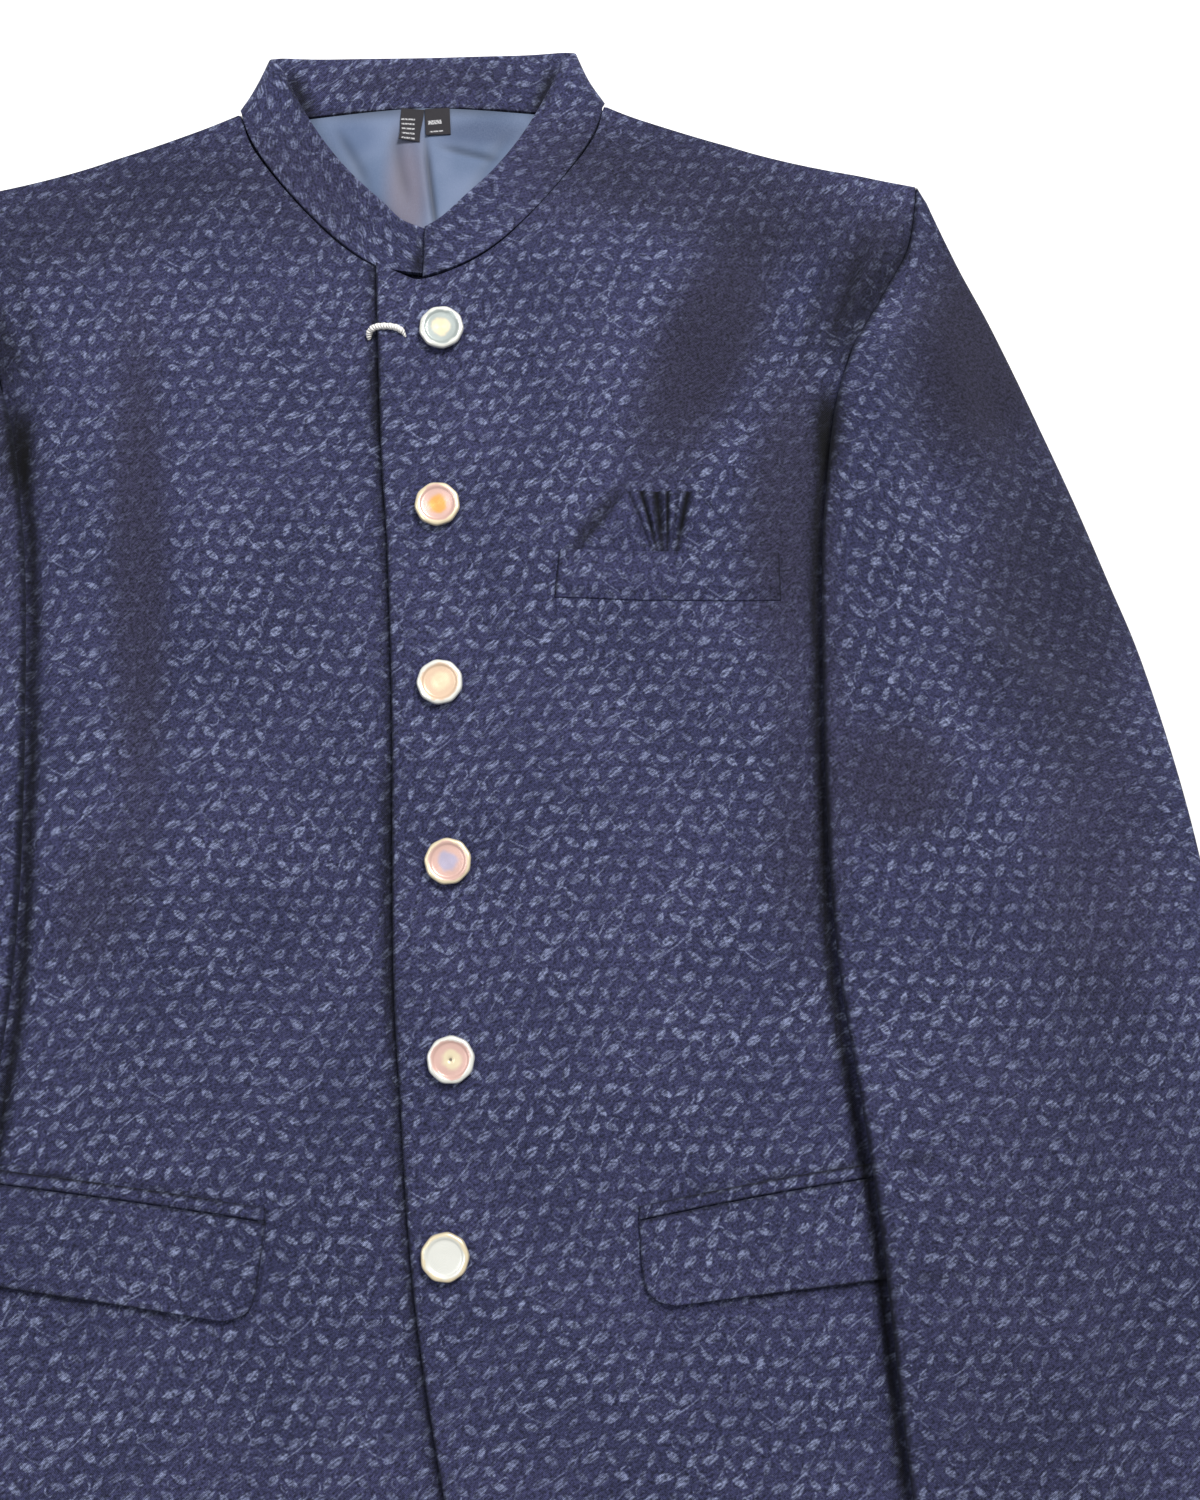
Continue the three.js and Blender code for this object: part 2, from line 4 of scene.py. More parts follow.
import bpy
import numpy as np
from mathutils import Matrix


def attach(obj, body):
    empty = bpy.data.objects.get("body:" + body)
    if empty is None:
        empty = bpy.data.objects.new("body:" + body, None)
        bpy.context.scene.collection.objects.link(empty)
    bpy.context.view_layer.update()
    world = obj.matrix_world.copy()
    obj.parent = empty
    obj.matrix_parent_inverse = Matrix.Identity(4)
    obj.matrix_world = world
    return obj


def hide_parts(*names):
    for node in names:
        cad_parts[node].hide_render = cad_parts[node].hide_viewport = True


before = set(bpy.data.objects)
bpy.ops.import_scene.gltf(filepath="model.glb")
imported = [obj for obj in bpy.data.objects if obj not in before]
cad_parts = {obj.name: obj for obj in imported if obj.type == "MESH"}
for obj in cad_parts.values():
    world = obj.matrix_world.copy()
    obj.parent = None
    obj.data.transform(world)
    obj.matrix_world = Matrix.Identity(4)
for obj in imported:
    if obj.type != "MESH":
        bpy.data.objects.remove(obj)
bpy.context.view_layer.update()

MM = 0.001
LEAST_SHEET = 0.01

# Driving sizes of the solids
LENGTH = 761.5
NECK_SEAM = 366.8
HEM = NECK_SEAM - LENGTH
CLOTH = 3.0
SLEEVE_CLOTH = 2.4
COLLAR_CLOTH = 3.2
LINING = 1.5
LABEL = 0.5
FLAP = 2.2
JET = 1.5
SQUARE_CLOTH = 1.2
SEAM = 0.3
LAP = 42.0
LAP_END = 56.0
LAP_SLOPE = 44.0
CHEST_RISE = 2.0
SHOULDER_PAD = 6.0
NECK_LIFT = 1.8
POCKET_LIFT = 4.0
# The sleeves lie this far above the fronts, drop off the sides and start at the head
REST_GAP = 0.6
DROP_START = 14.0
DROP = 26.0
HEAD_END = 266.0
HEAD_LENGTH = 30.0
PUFF = 6.5
CROWN_REACH = 50.0
# How far the back shows past each armhole where the sleeve climbs, at what y and half length
ARMHOLE_COVER = 9.0
COVER_Y = 237.0
COVER_HALF = 9.0

# Outlines of the wearer's left half: x, y
NECKLINE = [(0, 275), (20, 282), (37, 293), (55, 311), (71, 330.5), (82, 347), (86.6, 361.6)]
SHOULDER = [
    (87.2, 363.2), (104, 356.4), (133, 346.6), (147, 341.9), (161, 336.9), (189, 327.7),
    (205, 323), (219, 319.2), (234, 316.4),
]
BACK_NECK = [(0, NECK_SEAM), (54, 362.8), (82, 362.8), (85.4, 365.0), (88.6, 364.2)]
ARMHOLE = [
    (234, 316.4), (229, 287.4), (217.7, 267), (206.4, 247.9), (198.2, 232),
    (195, 205), (198, 170), (208, 135), (226, 103), (263.5, 70),
]
SIDE_SEAM = [(263.5, 70), (253, -66), (268, HEM)]
LAP_EDGE = [
    (110, HEM), (80, -388.5), (50, -376), (30, -354), (19, -325), (11, -285), (2.5, -238),
    (-4.3, -193), (-8.1, -154), (-11.1, -105), (-13.9, -55), (-14.4, 8), (-14.6, 65),
    (-16.7, 143), (-19.4, 188), (-21, 247), (-22, 284),
]
UNDER_EDGE = [
    (60, HEM), (28, -389), (-5, -377), (-26, -356), (-38, -328), (-LAP, -290), (-LAP, 0),
    (-LAP, 297.6),
]
LAP_NECK = [(-22, 284), (-10, 277.8)]
UNDER_NECK = [(-LAP, 297.6), (-20, 282)]

# Sleeve sections from the shoulder to the cuff: inner x, inner y, outer x, outer y
SLEEVE = np.array([
    (234, 316.4, 238.7, 307.8), (229, 287.4, 251.6, 279.2), (217.7, 267, 263.6, 254),
    (206.4, 247.9, 275, 226), (198.2, 232, 285.5, 198), (190.5, 208, 300, 158.5),
    (184.8, 172, 312, 123), (180.8, 134, 323.5, 88), (178.4, 69, 335.5, 38),
    (177.6, 4, 343.5, -8), (179.6, -48, 348, -54), (184, -89, 349, -94),
    (190.6, -149, 347, -152), (195.6, -216, 342.8, -218), (201.4, -290, 338.7, -293),
], float)
LAST_SECTION = len(SLEEVE) - 1
SEAM_SECTIONS = 5
SEAM_SHOWN = 0.15

# Collar stations: seam x, seam y, free x, free y, left height, right height, rise
COLLAR = [
    (0, 275.6, 1, 301.5, 10.5, 6.9, 0), (19.6, 282.6, 9.5, 307, 10.3, 6.9, 0.2),
    (36.4, 293.5, 19, 316.2, 9.8, 7.2, 0.6), (54.5, 311.3, 33, 329.8, 9.1, 7.8, 1),
    (70.4, 330.9, 44.5, 344, 8.5, 8.2, 1.3), (81.1, 347.5, 53.5, 358, 8.4, 8.4, 1.3),
    (85.5, 358.6, 61, 372, 8.5, 8.5, 1.1), (86.3, 362.3, 67.6, 385.8, 8.5, 8.5, 0.9),
    (86.2, 364.8, 72.4, 392.4, 5.6, 5.6, 0.9), (81.5, 364.4, 69, 395.0, 2.4, 2.4, 1),
    (60, 363.4, 51, 394.4, 1.8, 1.8, 1), (30, 366, 26, 394.2, 1.8, 1.8, 1),
    (0, 367.3, 0, 394, 1.8, 1.8, 1),
]
COLLAR_TUCK = (5, 278.6, 301)

# Broad ridges of the fronts: x, y, half length, half width, height, lean in degrees
FOLDS = [
    (122, 262, 46, 26, 1.4, 12), (168, 30, 120, 30, 1.2, 4),
    (-104, 150, 120, 26, 1.5, -6), (-160, -40, 130, 30, 1.2, -3),
]

# The line where a sleeve's inner edge lies on the front, and the armhole seam above it
GAP_LINE = [
    (187, 226), (184.4, 206), (184.6, 184), (180.4, 158), (178.6, 134), (176.8, 111), (177.2, 88),
    (175.8, 65), (176, 20), (175.6, -24), (178, -68), (183.6, -110), (188.8, -151), (192.2, -192),
    (195, -240), (199.6, -292),
]
SEAM_LINE = [(232, 313), (227, 287), (215.5, 267), (204, 248.5), (194, 230), (188.5, 211)]

# Creases: height (a trough where negative), half width, points x, y
CREASES = [
    (-2.0, 4.2, GAP_LINE), (-2.0, 4.2, [(-x, y) for x, y in GAP_LINE]),
    (-2.4, 4.0, SEAM_LINE), (-2.4, 4.0, [(-x, y) for x, y in SEAM_LINE]),
    (-2.0, 4.5, [(212, 302), (201, 273), (190, 247), (184, 220)]),
    (1.8, 5.0, [(219, 300), (208, 274), (197, 252)]),
    (1.9, 7.0, [(204, 306), (191, 276), (179, 246), (175, 206)]),
    (-1.0, 8.0, [(186, 300), (172, 268), (160, 238), (157, 205)]),
    (1.4, 16.0, [(128, 300), (150, 240), (166, 176), (166, 110), (160, 30)]),
    (-1.0, 14.0, [(108, 262), (124, 220), (140, 180)]),
    (-1.2, 9.0, [(60, 60), (66, 0), (62, -70)]),
    (0.9, 12.0, [(92, 70), (96, 0), (90, -80)]),
    (-1.0, 8.0, [(150, 96), (146, 40), (150, -30), (146, -96)]),
    (1.0, 10.0, [(44, 210), (40, 150), (46, 90)]),
    (-0.8, 9.0, [(70, -215), (84, -270), (80, -340)]),
    (1.0, 13.0, [(140, -210), (150, -280), (142, -352)]),
    (-1.8, 13.0, [(-134, 262), (-134, 190), (-128, 110), (-128, 30)]),
    (1.5, 12.0, [(-106, 250), (-104, 180), (-100, 100), (-104, 20)]),
    (-1.1, 9.0, [(-76, 170), (-74, 100), (-80, 30)]),
    (1.2, 12.0, [(-160, 210), (-158, 120), (-152, 40)]),
    (1.6, 7.0, [(-206, 304), (-192, 274), (-179, 246), (-175, 206)]),
    (-1.0, 10.0, [(-60, 0), (-64, -70), (-56, -130)]),
    (0.9, 12.0, [(-110, -20), (-116, -80), (-110, -128)]),
    (-1.0, 11.0, [(-90, -220), (-96, -290), (-90, -360)]),
    (0.9, 12.0, [(-150, -215), (-158, -290), (-150, -360)]),
    (-0.9, 6.0, [(104, 322), (150, 316), (190, 306)]),
    (-0.8, 6.0, [(-104, 322), (-148, 316), (-186, 306)]),
]
# Sleeve creases: height, half width, points of share across, section
SLEEVE_CREASES = [
    (2.2, 9.0, [(0.10, 2.2), (0.16, 4.0), (0.14, 6.0)]),
    (-1.8, 7.0, [(0.26, 1.6), (0.34, 3.6), (0.33, 5.6)]),
    (1.8, 12.0, [(0.52, 1.5), (0.58, 4.0), (0.54, 6.5), (0.50, 8.0)]),
    (-1.6, 9.0, [(0.78, 3.0), (0.80, 5.2), (0.74, 7.4)]),
    (-2.0, 8.0, [(0.10, 7.4), (0.26, 7.0), (0.44, 6.4)]),
    (1.8, 9.0, [(0.10, 8.0), (0.28, 7.7), (0.48, 7.0)]),
    (-1.7, 9.0, [(0.96, 8.4), (0.78, 8.8), (0.60, 9.6)]),
    (1.5, 10.0, [(0.95, 9.0), (0.76, 9.5), (0.56, 10.4)]),
    (-1.4, 9.0, [(0.20, 9.2), (0.34, 9.8), (0.50, 10.2)]),
    (1.3, 12.0, [(0.34, 9.0), (0.38, 10.8), (0.36, 12.6)]),
    (-1.3, 10.0, [(0.60, 11.0), (0.64, 12.2), (0.62, 13.4)]),
    (1.0, 9.0, [(0.84, 11.2), (0.86, 12.4), (0.82, 13.5)]),
]
# Where the front edge springs up a little: y, half length, height
EDGE_SPRINGS = [(222, 44, 1.7), (120, 30, 0.8), (10, 70, 1.7), (-130, 26, 0.6), (-250, 60, 1.3)]

# Buttons: x, y, tints of the middle, the ring and the rim, painted shade in the dimple (below 0.5 the dimple
# is flattened)
BUTTONS = [
    (9, 249, "cream", "cool", "pale", 0.0), (6.5, 164, "amber", "rose", "cream", 0.0),
    (7.2, 81, "cream", "peach", "pale", 0.0), (10.3, 0.5, "lilac", "rose", "cream", 0.0),
    (11, -85, "cream", "rose", "pale", 0.8), (8, -166.5, "pale", "pale", "cream", 0.0),
]
BUTTON_SEAT = 3.4
BUTTON_SIDES = 72
THREAD_RADIUS = 1.5

WELT = dict(left=59.0, right=161.5, bottom=119.3, top=141.4, fall=0.031, lean=3.0)
SQUARE = dict(left=69.0, right=150.0, top_left=92.0, top_right=124.0, height=28.5)
# Grooves of the pocket square: x at the top, x at the bottom, half width, depth
GROOVES = [
    (93.6, 104.0, 1.2, 1.6), (99.4, 106.4, 1.5, 2.8), (106.4, 108.6, 2.7, 3.8),
    (111.6, 110.8, 1.3, 2.6), (121.0, 114.8, 2.0, 3.6), (116.4, 112.8, 1.0, 1.2),
]
# Flaps: front end x, top edge y, climb of the top and the lower edge, depth, bow of the top, lean
FLAPS = [
    ("left", 1, 90.0, -154.2, 0.139, 0.095, 35.6, 1.8, 1.2),
    ("right", -1, 68.6, -151.3, 0.157, 0.159, 40.6, 0.8, 3.5),
]
FLAP_LENGTH = 142.0
JET_WIDTH = 5.6
FLAP_SHADE = 0.6


def step(t):
    c = np.clip(t, 0.0, 1.0)
    return c * c * (3 - 2 * c)


def bell(dx, dy, width, height):
    return np.exp(-((dx / width) ** 2) - (dy / height) ** 2)


def turned(x, y, degrees):
    """Places turned about the origin."""
    a = math.radians(degrees)
    return x * math.cos(a) - y * math.sin(a), x * math.sin(a) + y * math.cos(a)


def dense(points, per_span=40):
    """Points close together on the smooth curve through these."""
    p = np.array(points, float)
    last = len(p) - 1
    t = np.linspace(0, last, last * per_span + 1)
    return smooth(p, t)


def smooth(p, t):
    """The curve through the points p, at the parameters t, counted in points."""
    last = len(p) - 1
    i = np.minimum(t.astype(int), last - 1)
    w = (t - i)[:, None]
    before, start, end, after = (p[np.clip(i + k, 0, last)] for k in (-1, 0, 1, 2))
    out, into = (end - before) / 2, (after - start) / 2
    cubic = 2 * start - 2 * end + out + into
    square = 3 * end - 3 * start - 2 * out - into
    return (cubic * w + square) * w * w + out * w + start


def lengths(line):
    """Length along a line, from its first point to each point."""
    return np.r_[0, np.cumsum(np.linalg.norm(np.diff(line, axis=0), axis=1))]


def along(line, shares):
    """Points of a line of close points, at shares of its length."""
    reach = lengths(line)
    at = np.asarray(shares) * reach[-1]
    return np.stack([np.interp(at, reach, line[:, k]) for k in range(line.shape[1])], 1)


def spread(count, length, edge=1.5):
    """Shares from 0 to 1, even but for fine steps over a rounded rim at each end."""
    fine = edge * (1 - np.cos(np.radians(np.arange(0, 91, 15)))) / length
    inner = np.linspace(fine[-1], 1 - fine[-1], count)
    return np.r_[fine[:-1], inner, 1 - fine[-2::-1]]


def patch(bottom, top, left, right, u, v):
    """Four-sided patch between lines whose points are at the shares u and v."""
    u, v = u[None, :, None], v[:, None, None]
    b, t, l, r = bottom[None], top[None], left[:, None], right[:, None]
    flat = (1 - v) * b + v * t + (1 - u) * l + u * r
    ends = (1 - u) * ((1 - v) * bottom[0] + v * top[0]) + u * ((1 - v) * bottom[-1] + v * top[-1])
    return flat - ends


def straight(ax, ay, bx, by, shares, bow=0.0):
    """Points between two ends, straight or bowed up in the middle."""
    s = np.asarray(shares)[:, None]
    line = np.array([(ax, ay)], float) * (1 - s) + np.array([(bx, by)], float) * s
    return line + np.hstack([0 * s, bow * np.sin(math.pi * s)])


def four_cornered(low_left, low_right, top_left, top_right, u, v, bow=0.0):
    """Patch between four corners, whose lower and upper edges may bow."""
    bottom = straight(*low_left, *low_right, u, bow)
    top = straight(*top_left, *top_right, u, bow)
    left, right = straight(*low_left, *top_left, v), straight(*low_right, *top_right, v)
    return patch(bottom, top, left, right, u, v)


def reach_of(grid, axis):
    """Length along the grid's lines, from their first point."""
    steps = np.linalg.norm(np.diff(grid, axis=axis), axis=2)
    start = np.zeros_like(steps[:, :1] if axis == 1 else steps[:1])
    return np.concatenate([start, np.cumsum(steps, axis=axis)], axis=axis)


def rim_distances(grid):
    """Distances from the first and last row, and from the first and last column."""
    down, across = reach_of(grid, 0), reach_of(grid, 1)
    return down, down[-1:] - down, across, across[:, -1:] - across


def rim_tone(grid, lost, width=0.9):
    """Painted shade towards the seams: the light lost at the first and last row and column."""
    tone = np.ones(grid.shape[:2])
    for distance, share in zip(rim_distances(grid), lost):
        tone *= 1 - share * (1 - step(distance / width))
    return tone


def rim_drop(grid, radii):
    """How far the face falls at its rims, whose radii are in the order of rim_distances."""
    drop = np.zeros(grid.shape[:2])
    for distance, radius in zip(rim_distances(grid), radii):
        r = np.asarray(radius, float)
        r = np.maximum(r[:, None] if r.ndim else r, 1e-6)
        d = np.clip(distance, 0, r)
        drop = np.maximum(drop, r - np.sqrt(np.maximum(r * r - (r - d) ** 2, 0)))
    return drop


# Heights of the layers, from the surface up
def padding(x, y):
    return SHOULDER_PAD * bell(np.abs(x) - 216, y - 313, 38, 46)


def front_thickness(x, y):
    return CLOTH + CHEST_RISE * bell(np.abs(x) - 110, y - 180, 70, 110) + padding(x, y)


def fold_rise(x, y):
    rise = 0.0
    for fx, fy, length, width, height, lean in FOLDS:
        rise = rise + height * bell(*turned(x - fx, y - fy, -lean), width, length)
    return rise


def under_low(x, y):
    near_neck = 1 - step((np.hypot(x, y - 345) - 88) / 50)
    return CLOTH + SEAM + NECK_LIFT * near_neck + fold_rise(x, y)


def lap_low(x, y):
    lift = 1 - step((x - LAP_END) / LAP_SLOPE)
    return under_low(x, y) + lift * (front_thickness(x, y) + SEAM)


def crease_at(x, y, creases):
    """Sum of the soft ridges and troughs, each fading out at both of its ends."""
    total = np.zeros_like(x)
    for height, width, points in creases:
        line = dense(points, 6)
        reach = lengths(line)
        best = np.full(x.shape, 1e9)
        share = np.zeros_like(x)
        for k in range(len(line) - 1):
            a, d = line[k], line[k + 1] - line[k]
            t = np.clip(((x - a[0]) * d[0] + (y - a[1]) * d[1]) / (d @ d), 0, 1)
            gap = np.hypot(x - a[0] - t * d[0], y - a[1] - t * d[1])
            near = gap < best
            best = np.where(near, gap, best)
            share = np.where(near, (reach[k] + t * (reach[k + 1] - reach[k])) / reach[-1], share)
        fade = min(0.35, 35.0 / reach[-1])
        total += height * np.exp(-((best / width) ** 2)) * step(share / fade) * step((1 - share) / fade)
    return total


def relief(x, y):
    return crease_at(x, y, CREASES)


LAP_LINE = dense(LAP_EDGE)


def lap_edge(y):
    """Where the lapping front's free edge is."""
    return np.interp(y, LAP_LINE[:, 1], LAP_LINE[:, 0])


def edge_spring(x, y):
    """The lift of the lapping front near its free edge."""
    total = 0.0
    for middle, length, height in EDGE_SPRINGS:
        total = total + height * np.exp(-(((y - middle) / length) ** 2))
    return total * np.exp(-((np.maximum(x - lap_edge(y), 0) / 16) ** 2))


def front_top(x, y):
    """Height of the fronts as one surface, with their creases."""
    lapped = lap_low(x, y) + edge_spring(x, y)
    base = np.where(x > lap_edge(y), lapped, under_low(x, y))
    return base + front_thickness(x, y) + relief(x, y)


BODY_OUTLINE = np.concatenate([dense(ARMHOLE), dense(SIDE_SEAM)[1:]])


def half_width(y):
    return np.interp(-y, -BODY_OUTLINE[:, 1], BODY_OUTLINE[:, 0])


def solid_top(x, y):
    """Top of the fronts' solids, which the sleeves lie on."""
    base = np.where(x > -LAP, lap_low(x, y), under_low(x, y))
    return base + front_thickness(x, y)


def sleeve_rest(x, y):
    out = np.abs(x)
    pocket = POCKET_LIFT * (1 - step((out - 236) / 24)) * (1 - step((np.abs(y + 152) - 44) / 40))
    fall = 1 - step((out - half_width(y) - DROP_START) / DROP)
    return (solid_top(x, y) + REST_GAP + pocket) * fall * step((HEAD_END - y) / HEAD_LENGTH)


# Painted sheen and painted shade: where the sprig is painted fainter, as if its sheen caught less light,
# and where shade is painted onto the cloth: x, y, half length, half width, lean in degrees, sprig lost,
# light lost
ZONES = [
    (132, 240, 80, 30, 24, 0.9, 0.3), (166, 160, 80, 25, 6, 0.8, 0.2),
    (172, 50, 120, 22, 2, 0.5, 0.06), (160, -2, 34, 22, 0, 0.3, 0.0),
    (140, 316, 34, 100, 18, 0.4, 0.3), (-130, 140, 150, 17, -2, 0.8, 0.12),
    (-144, -12, 40, 22, 10, 0.5, 0.04), (262, 236, 78, 44, 10, 0.97, 0.42),
    (286, 120, 90, 50, 10, 0.5, 0.34), (208, 32, 34, 32, -25, 0.75, 0.14),
    (296, 0, 90, 36, 4, 0.5, 0.06), (270, -170, 200, 80, 4, 0.15, 0.1),
    (-60, 322, 36, 46, 30, 0.3, 0.1), (70, 326, 36, 40, -30, 0.3, 0.1),
    (-250, 200, 140, 70, -12, 0.7, 0.36), (-268, -120, 220, 80, -4, 0.2, 0.1),
    (79, 156, 25, 5, 37, 0.3, 0.55), (0, 381, 12, 52, 0, 0.3, 0.18),
    (206, 276, 44, 15, 34, 0.5, 0.3), (-150, 316, 34, 90, -18, 0.3, 0.26),
]
# Lines where folds and gaps keep the light out: side (0 for both), light lost, half width, points
DARK_LINES = [
    (0, 0.88, 3.2, GAP_LINE),
    (0, 0.88, 6.5, [(191, 226), (188, 208), (186, 190), (182, 168)]),
    (0, 0.6, 3.6, SEAM_LINE),
    (0, 0.6, 4.4, [(211, 296), (200, 264), (190, 241), (184, 220)]),
    (0, 0.42, 2.8, [(222, 292), (208, 264), (197, 246), (189, 230)]),
    (0, 0.36, 3.2, [(198, 300), (187, 268), (179, 240), (177, 212)]),
    (0, 0.8, 4.0, [(66.4, 391), (58.8, 373.5), (51, 356)]),
    (0, 0.5, 1.8, [(0, 367.4), (30, 365.8), (60, 363)]),
    (1, 0.5, 2.4, [(-0.8, 302), (-1.2, 290), (-1.8, 276)]),
    (1, 0.55, 3.4, [(-3.2, 292), (-3.4, 276)]),
    (1, 0.6, 3.4, [(-23.5, 250), (-23.2, 232), (-22.4, 212), (-21.6, 188)]),
    (1, 0.55, 3.0, [(-17.5, 58), (-17.2, 0), (-16.6, -50), (-14, -90)]),
]
EDGE_SHADE = 0.72


def flap_lines():
    """The painted shade lines over each jet and under each flap."""
    lines = []
    for _, side, front_x, top_y, rise, low_rise, depth, bow, lean in FLAPS:
        share = np.linspace(0, 1, 5)
        top = top_y + JET_WIDTH + 2 * SEAM + rise * FLAP_LENGTH * share + bow * np.sin(math.pi * share)
        low = top_y - depth + low_rise * FLAP_LENGTH * share
        ends = front_x + FLAP_LENGTH * share
        lines.append((side, FLAP_SHADE, 1.1, list(zip(ends, top))))
        lines.append((side, FLAP_SHADE, 1.6, list(zip(ends + (13 + lean) * (1 - share), low - 0.4))))
    return lines


def nap_and_tone(x, y):
    """Painted sheen (how much of the sprig shows) and painted shade (how light the cloth is) at places on
    the jacket.
    """
    nap, tone = np.ones_like(x), np.ones_like(x)
    for zx, zy, length, width, lean, lost, dark in ZONES:
        across, down = turned(x - zx, y - zy, lean)
        near = 1 - step((np.hypot(across / width, down / length) - 0.35) / 0.85)
        nap *= 1 - lost * near
        tone *= 1 - dark * near
    for side, dark, width, points in DARK_LINES + flap_lines():
        tone *= 1 - crease_at(x * side if side else np.abs(x), y, [(dark, width, points)])
    return nap, tone


def swayed(uv):
    """The flat coordinates with a slow sway, so that the sprig's repeat doesn't show."""
    u, v = uv[..., 0], uv[..., 1]
    across = u + 2.4 * np.sin(v / 23 + 0.7) + 1.6 * np.sin(u / 31 + v / 47)
    down = v + 2.2 * np.sin(u / 27 + 1.9) + 1.5 * np.sin(v / 39 - u / 52)
    return np.stack([across, down], -1)


# Mesh making
def make_mesh(name, points, quads, uv, material, **values):
    """An object from points, four-sided faces, flat coordinates and named values at the points."""
    mesh = bpy.data.meshes.new(name)
    quads = np.asarray(quads, np.int32)
    mesh.vertices.add(len(points))
    mesh.vertices.foreach_set("co", (np.asarray(points, np.float32) * MM).ravel())
    mesh.loops.add(quads.size)
    mesh.loops.foreach_set("vertex_index", quads.ravel())
    mesh.polygons.add(len(quads))
    mesh.polygons.foreach_set("loop_start", np.arange(0, quads.size, 4, dtype=np.int32))
    mesh.polygons.foreach_set("use_smooth", np.ones(len(quads), bool))
    layer = mesh.uv_layers.new(name="UVMap")
    layer.data.foreach_set("uv", (np.asarray(uv, np.float32) * MM)[quads.ravel()].ravel())
    for key, value in values.items():
        attribute = mesh.attributes.new(key, "FLOAT", "POINT")
        attribute.data.foreach_set("value", np.asarray(value, np.float32).ravel())
    mesh.update(calc_edges=True)
    mesh.validate()
    mesh.materials.append(material)
    obj = bpy.data.objects.new(name, mesh)
    bpy.context.scene.collection.objects.link(obj)
    return obj


def wall_quads(rows, columns, flip=False):
    """Faces of a closed wall: its outer grid, its inner grid and the four rims between them."""
    at = np.arange(2 * rows * columns).reshape(2, rows, columns)
    out, back = at
    faces = [np.stack([out[:-1, :-1], out[:-1, 1:], out[1:, 1:], out[1:, :-1]], -1).reshape(-1, 4),
             np.stack([back[:-1, :-1], back[1:, :-1], back[1:, 1:], back[:-1, 1:]], -1).reshape(-1, 4),
             np.stack([out[0, :-1], back[0, :-1], back[0, 1:], out[0, 1:]], -1),
             np.stack([out[-1, :-1], out[-1, 1:], back[-1, 1:], back[-1, :-1]], -1),
             np.stack([out[:-1, 0], out[1:, 0], back[1:, 0], back[:-1, 0]], -1),
             np.stack([out[:-1, -1], back[:-1, -1], back[1:, -1], out[1:, -1]], -1)]
    quads = np.concatenate(faces)
    return quads[:, ::-1] if flip else quads


def area_of(points):
    a = points[1:, 1:] - points[:-1, :-1]
    b = points[1:, :-1] - points[:-1, 1:]
    return float(np.linalg.norm(np.cross(a, b), axis=2).sum() / 2)


def wall(node, outer, inner, uv, rests_on, slot="cloth", look=None, flip=False, tone=1.0):
    """A closed cloth wall that stands for a CAD node, whose part it hides; what carries it (rests_on) is not
    used.
    """
    ending, plain_look = CLOTHS[slot]
    rows, columns = outer.shape[:2]
    points = np.concatenate([outer.reshape(-1, 3), inner.reshape(-1, 3)])
    flat = np.concatenate([swayed(uv).reshape(-1, 2)] * 2)
    # Painted sheen and painted shade at the wall's points.
    nap, shade = nap_and_tone(outer[..., 0], outer[..., 1])
    shade = shade * tone
    obj = make_mesh(f"{node}_{ending}", points, wall_quads(rows, columns, flip), flat,
                    look or plain_look, nap=np.stack([nap, nap]), tone=np.stack([shade, shade]))
    size = np.ptp(uv.reshape(-1, 2), axis=0)
    short, long = sorted(max(float(s) * MM, LEAST_SHEET) for s in size)
    cut = min(area_of(outer) * MM * MM, short * long)
    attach(obj, "root")
    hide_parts(node)
    cut = max(cut, 0.31 * short * long)


def lifted(grid, z):
    return np.dstack([grid, z])


def layer(node, grid, low, high, radii, rests_on, uv=None, **more):
    """A wall between two heights over a flat grid, with its rims rounded."""
    drop = rim_drop(grid, radii)
    uv = grid if uv is None else uv
    wall(node, lifted(grid, high - drop), lifted(grid, low + 0.5 * drop), uv, rests_on, **more)


# Materials
class Tree:
    """Short calls for the nodes of one material."""

    def __init__(self, name):
        self.material = bpy.data.materials.new(name)
        self.material.use_nodes = True
        self.tree = self.material.node_tree
        self.tree.nodes.clear()

    def feed(self, socket, value):
        if isinstance(value, bpy.types.NodeSocket):
            self.tree.links.new(value, socket)
        elif value is not None:
            socket.default_value = value

    def add(self, kind, *inputs, out=0, **settings):
        """A node, whose settings with a capital letter are sockets."""
        node = self.tree.nodes.new("ShaderNode" + kind)
        for key, value in settings.items():
            if key[0].islower():
                setattr(node, key, value)
        for socket, value in zip(node.inputs, inputs):
            self.feed(socket, value)
        for key, value in settings.items():
            if key[0].isupper():
                self.feed(node.inputs[key.replace("_", " ")], value)
        return node.outputs[out] if node.outputs else node

    def math(self, operation, *inputs, clamp=False):
        return self.add("Math", *inputs, operation=operation, use_clamp=clamp)

    def vector(self, operation, *inputs, out=0):
        return self.add("VectorMath", *inputs, operation=operation, out=out)

    def in_mm(self, place):
        return self.vector("SCALE", place, None, None, 1 / MM)

    def ramp(self, value, low, high, to_low=0.0, to_high=1.0):
        steps = (value, low, high, to_low, to_high)
        return self.add("MapRange", *steps, interpolation_type="SMOOTHSTEP")

    def mix(self, share, a, b):
        node = self.tree.nodes.new("ShaderNodeMix")
        node.data_type = "RGBA"
        for place, value in ((0, share), (6, a), (7, b)):
            self.feed(node.inputs[place], value)
        return node.outputs[2]

    def noise(self, vector, scale, detail=2.0, rough=0.5):
        return self.add("TexNoise", vector, Scale=scale, Detail=detail, Roughness=rough)

    def shade(self, color, roughness, bump=None, depth=0.0, **sockets):
        if bump is not None:
            sockets["Normal"] = self.add("Bump", Strength=1.0, Distance=depth, Height=bump)
        sockets.update(Base_Color=color, Roughness=roughness)
        self.add("OutputMaterial", self.add("BsdfPrincipled", **sockets))
        return self.material


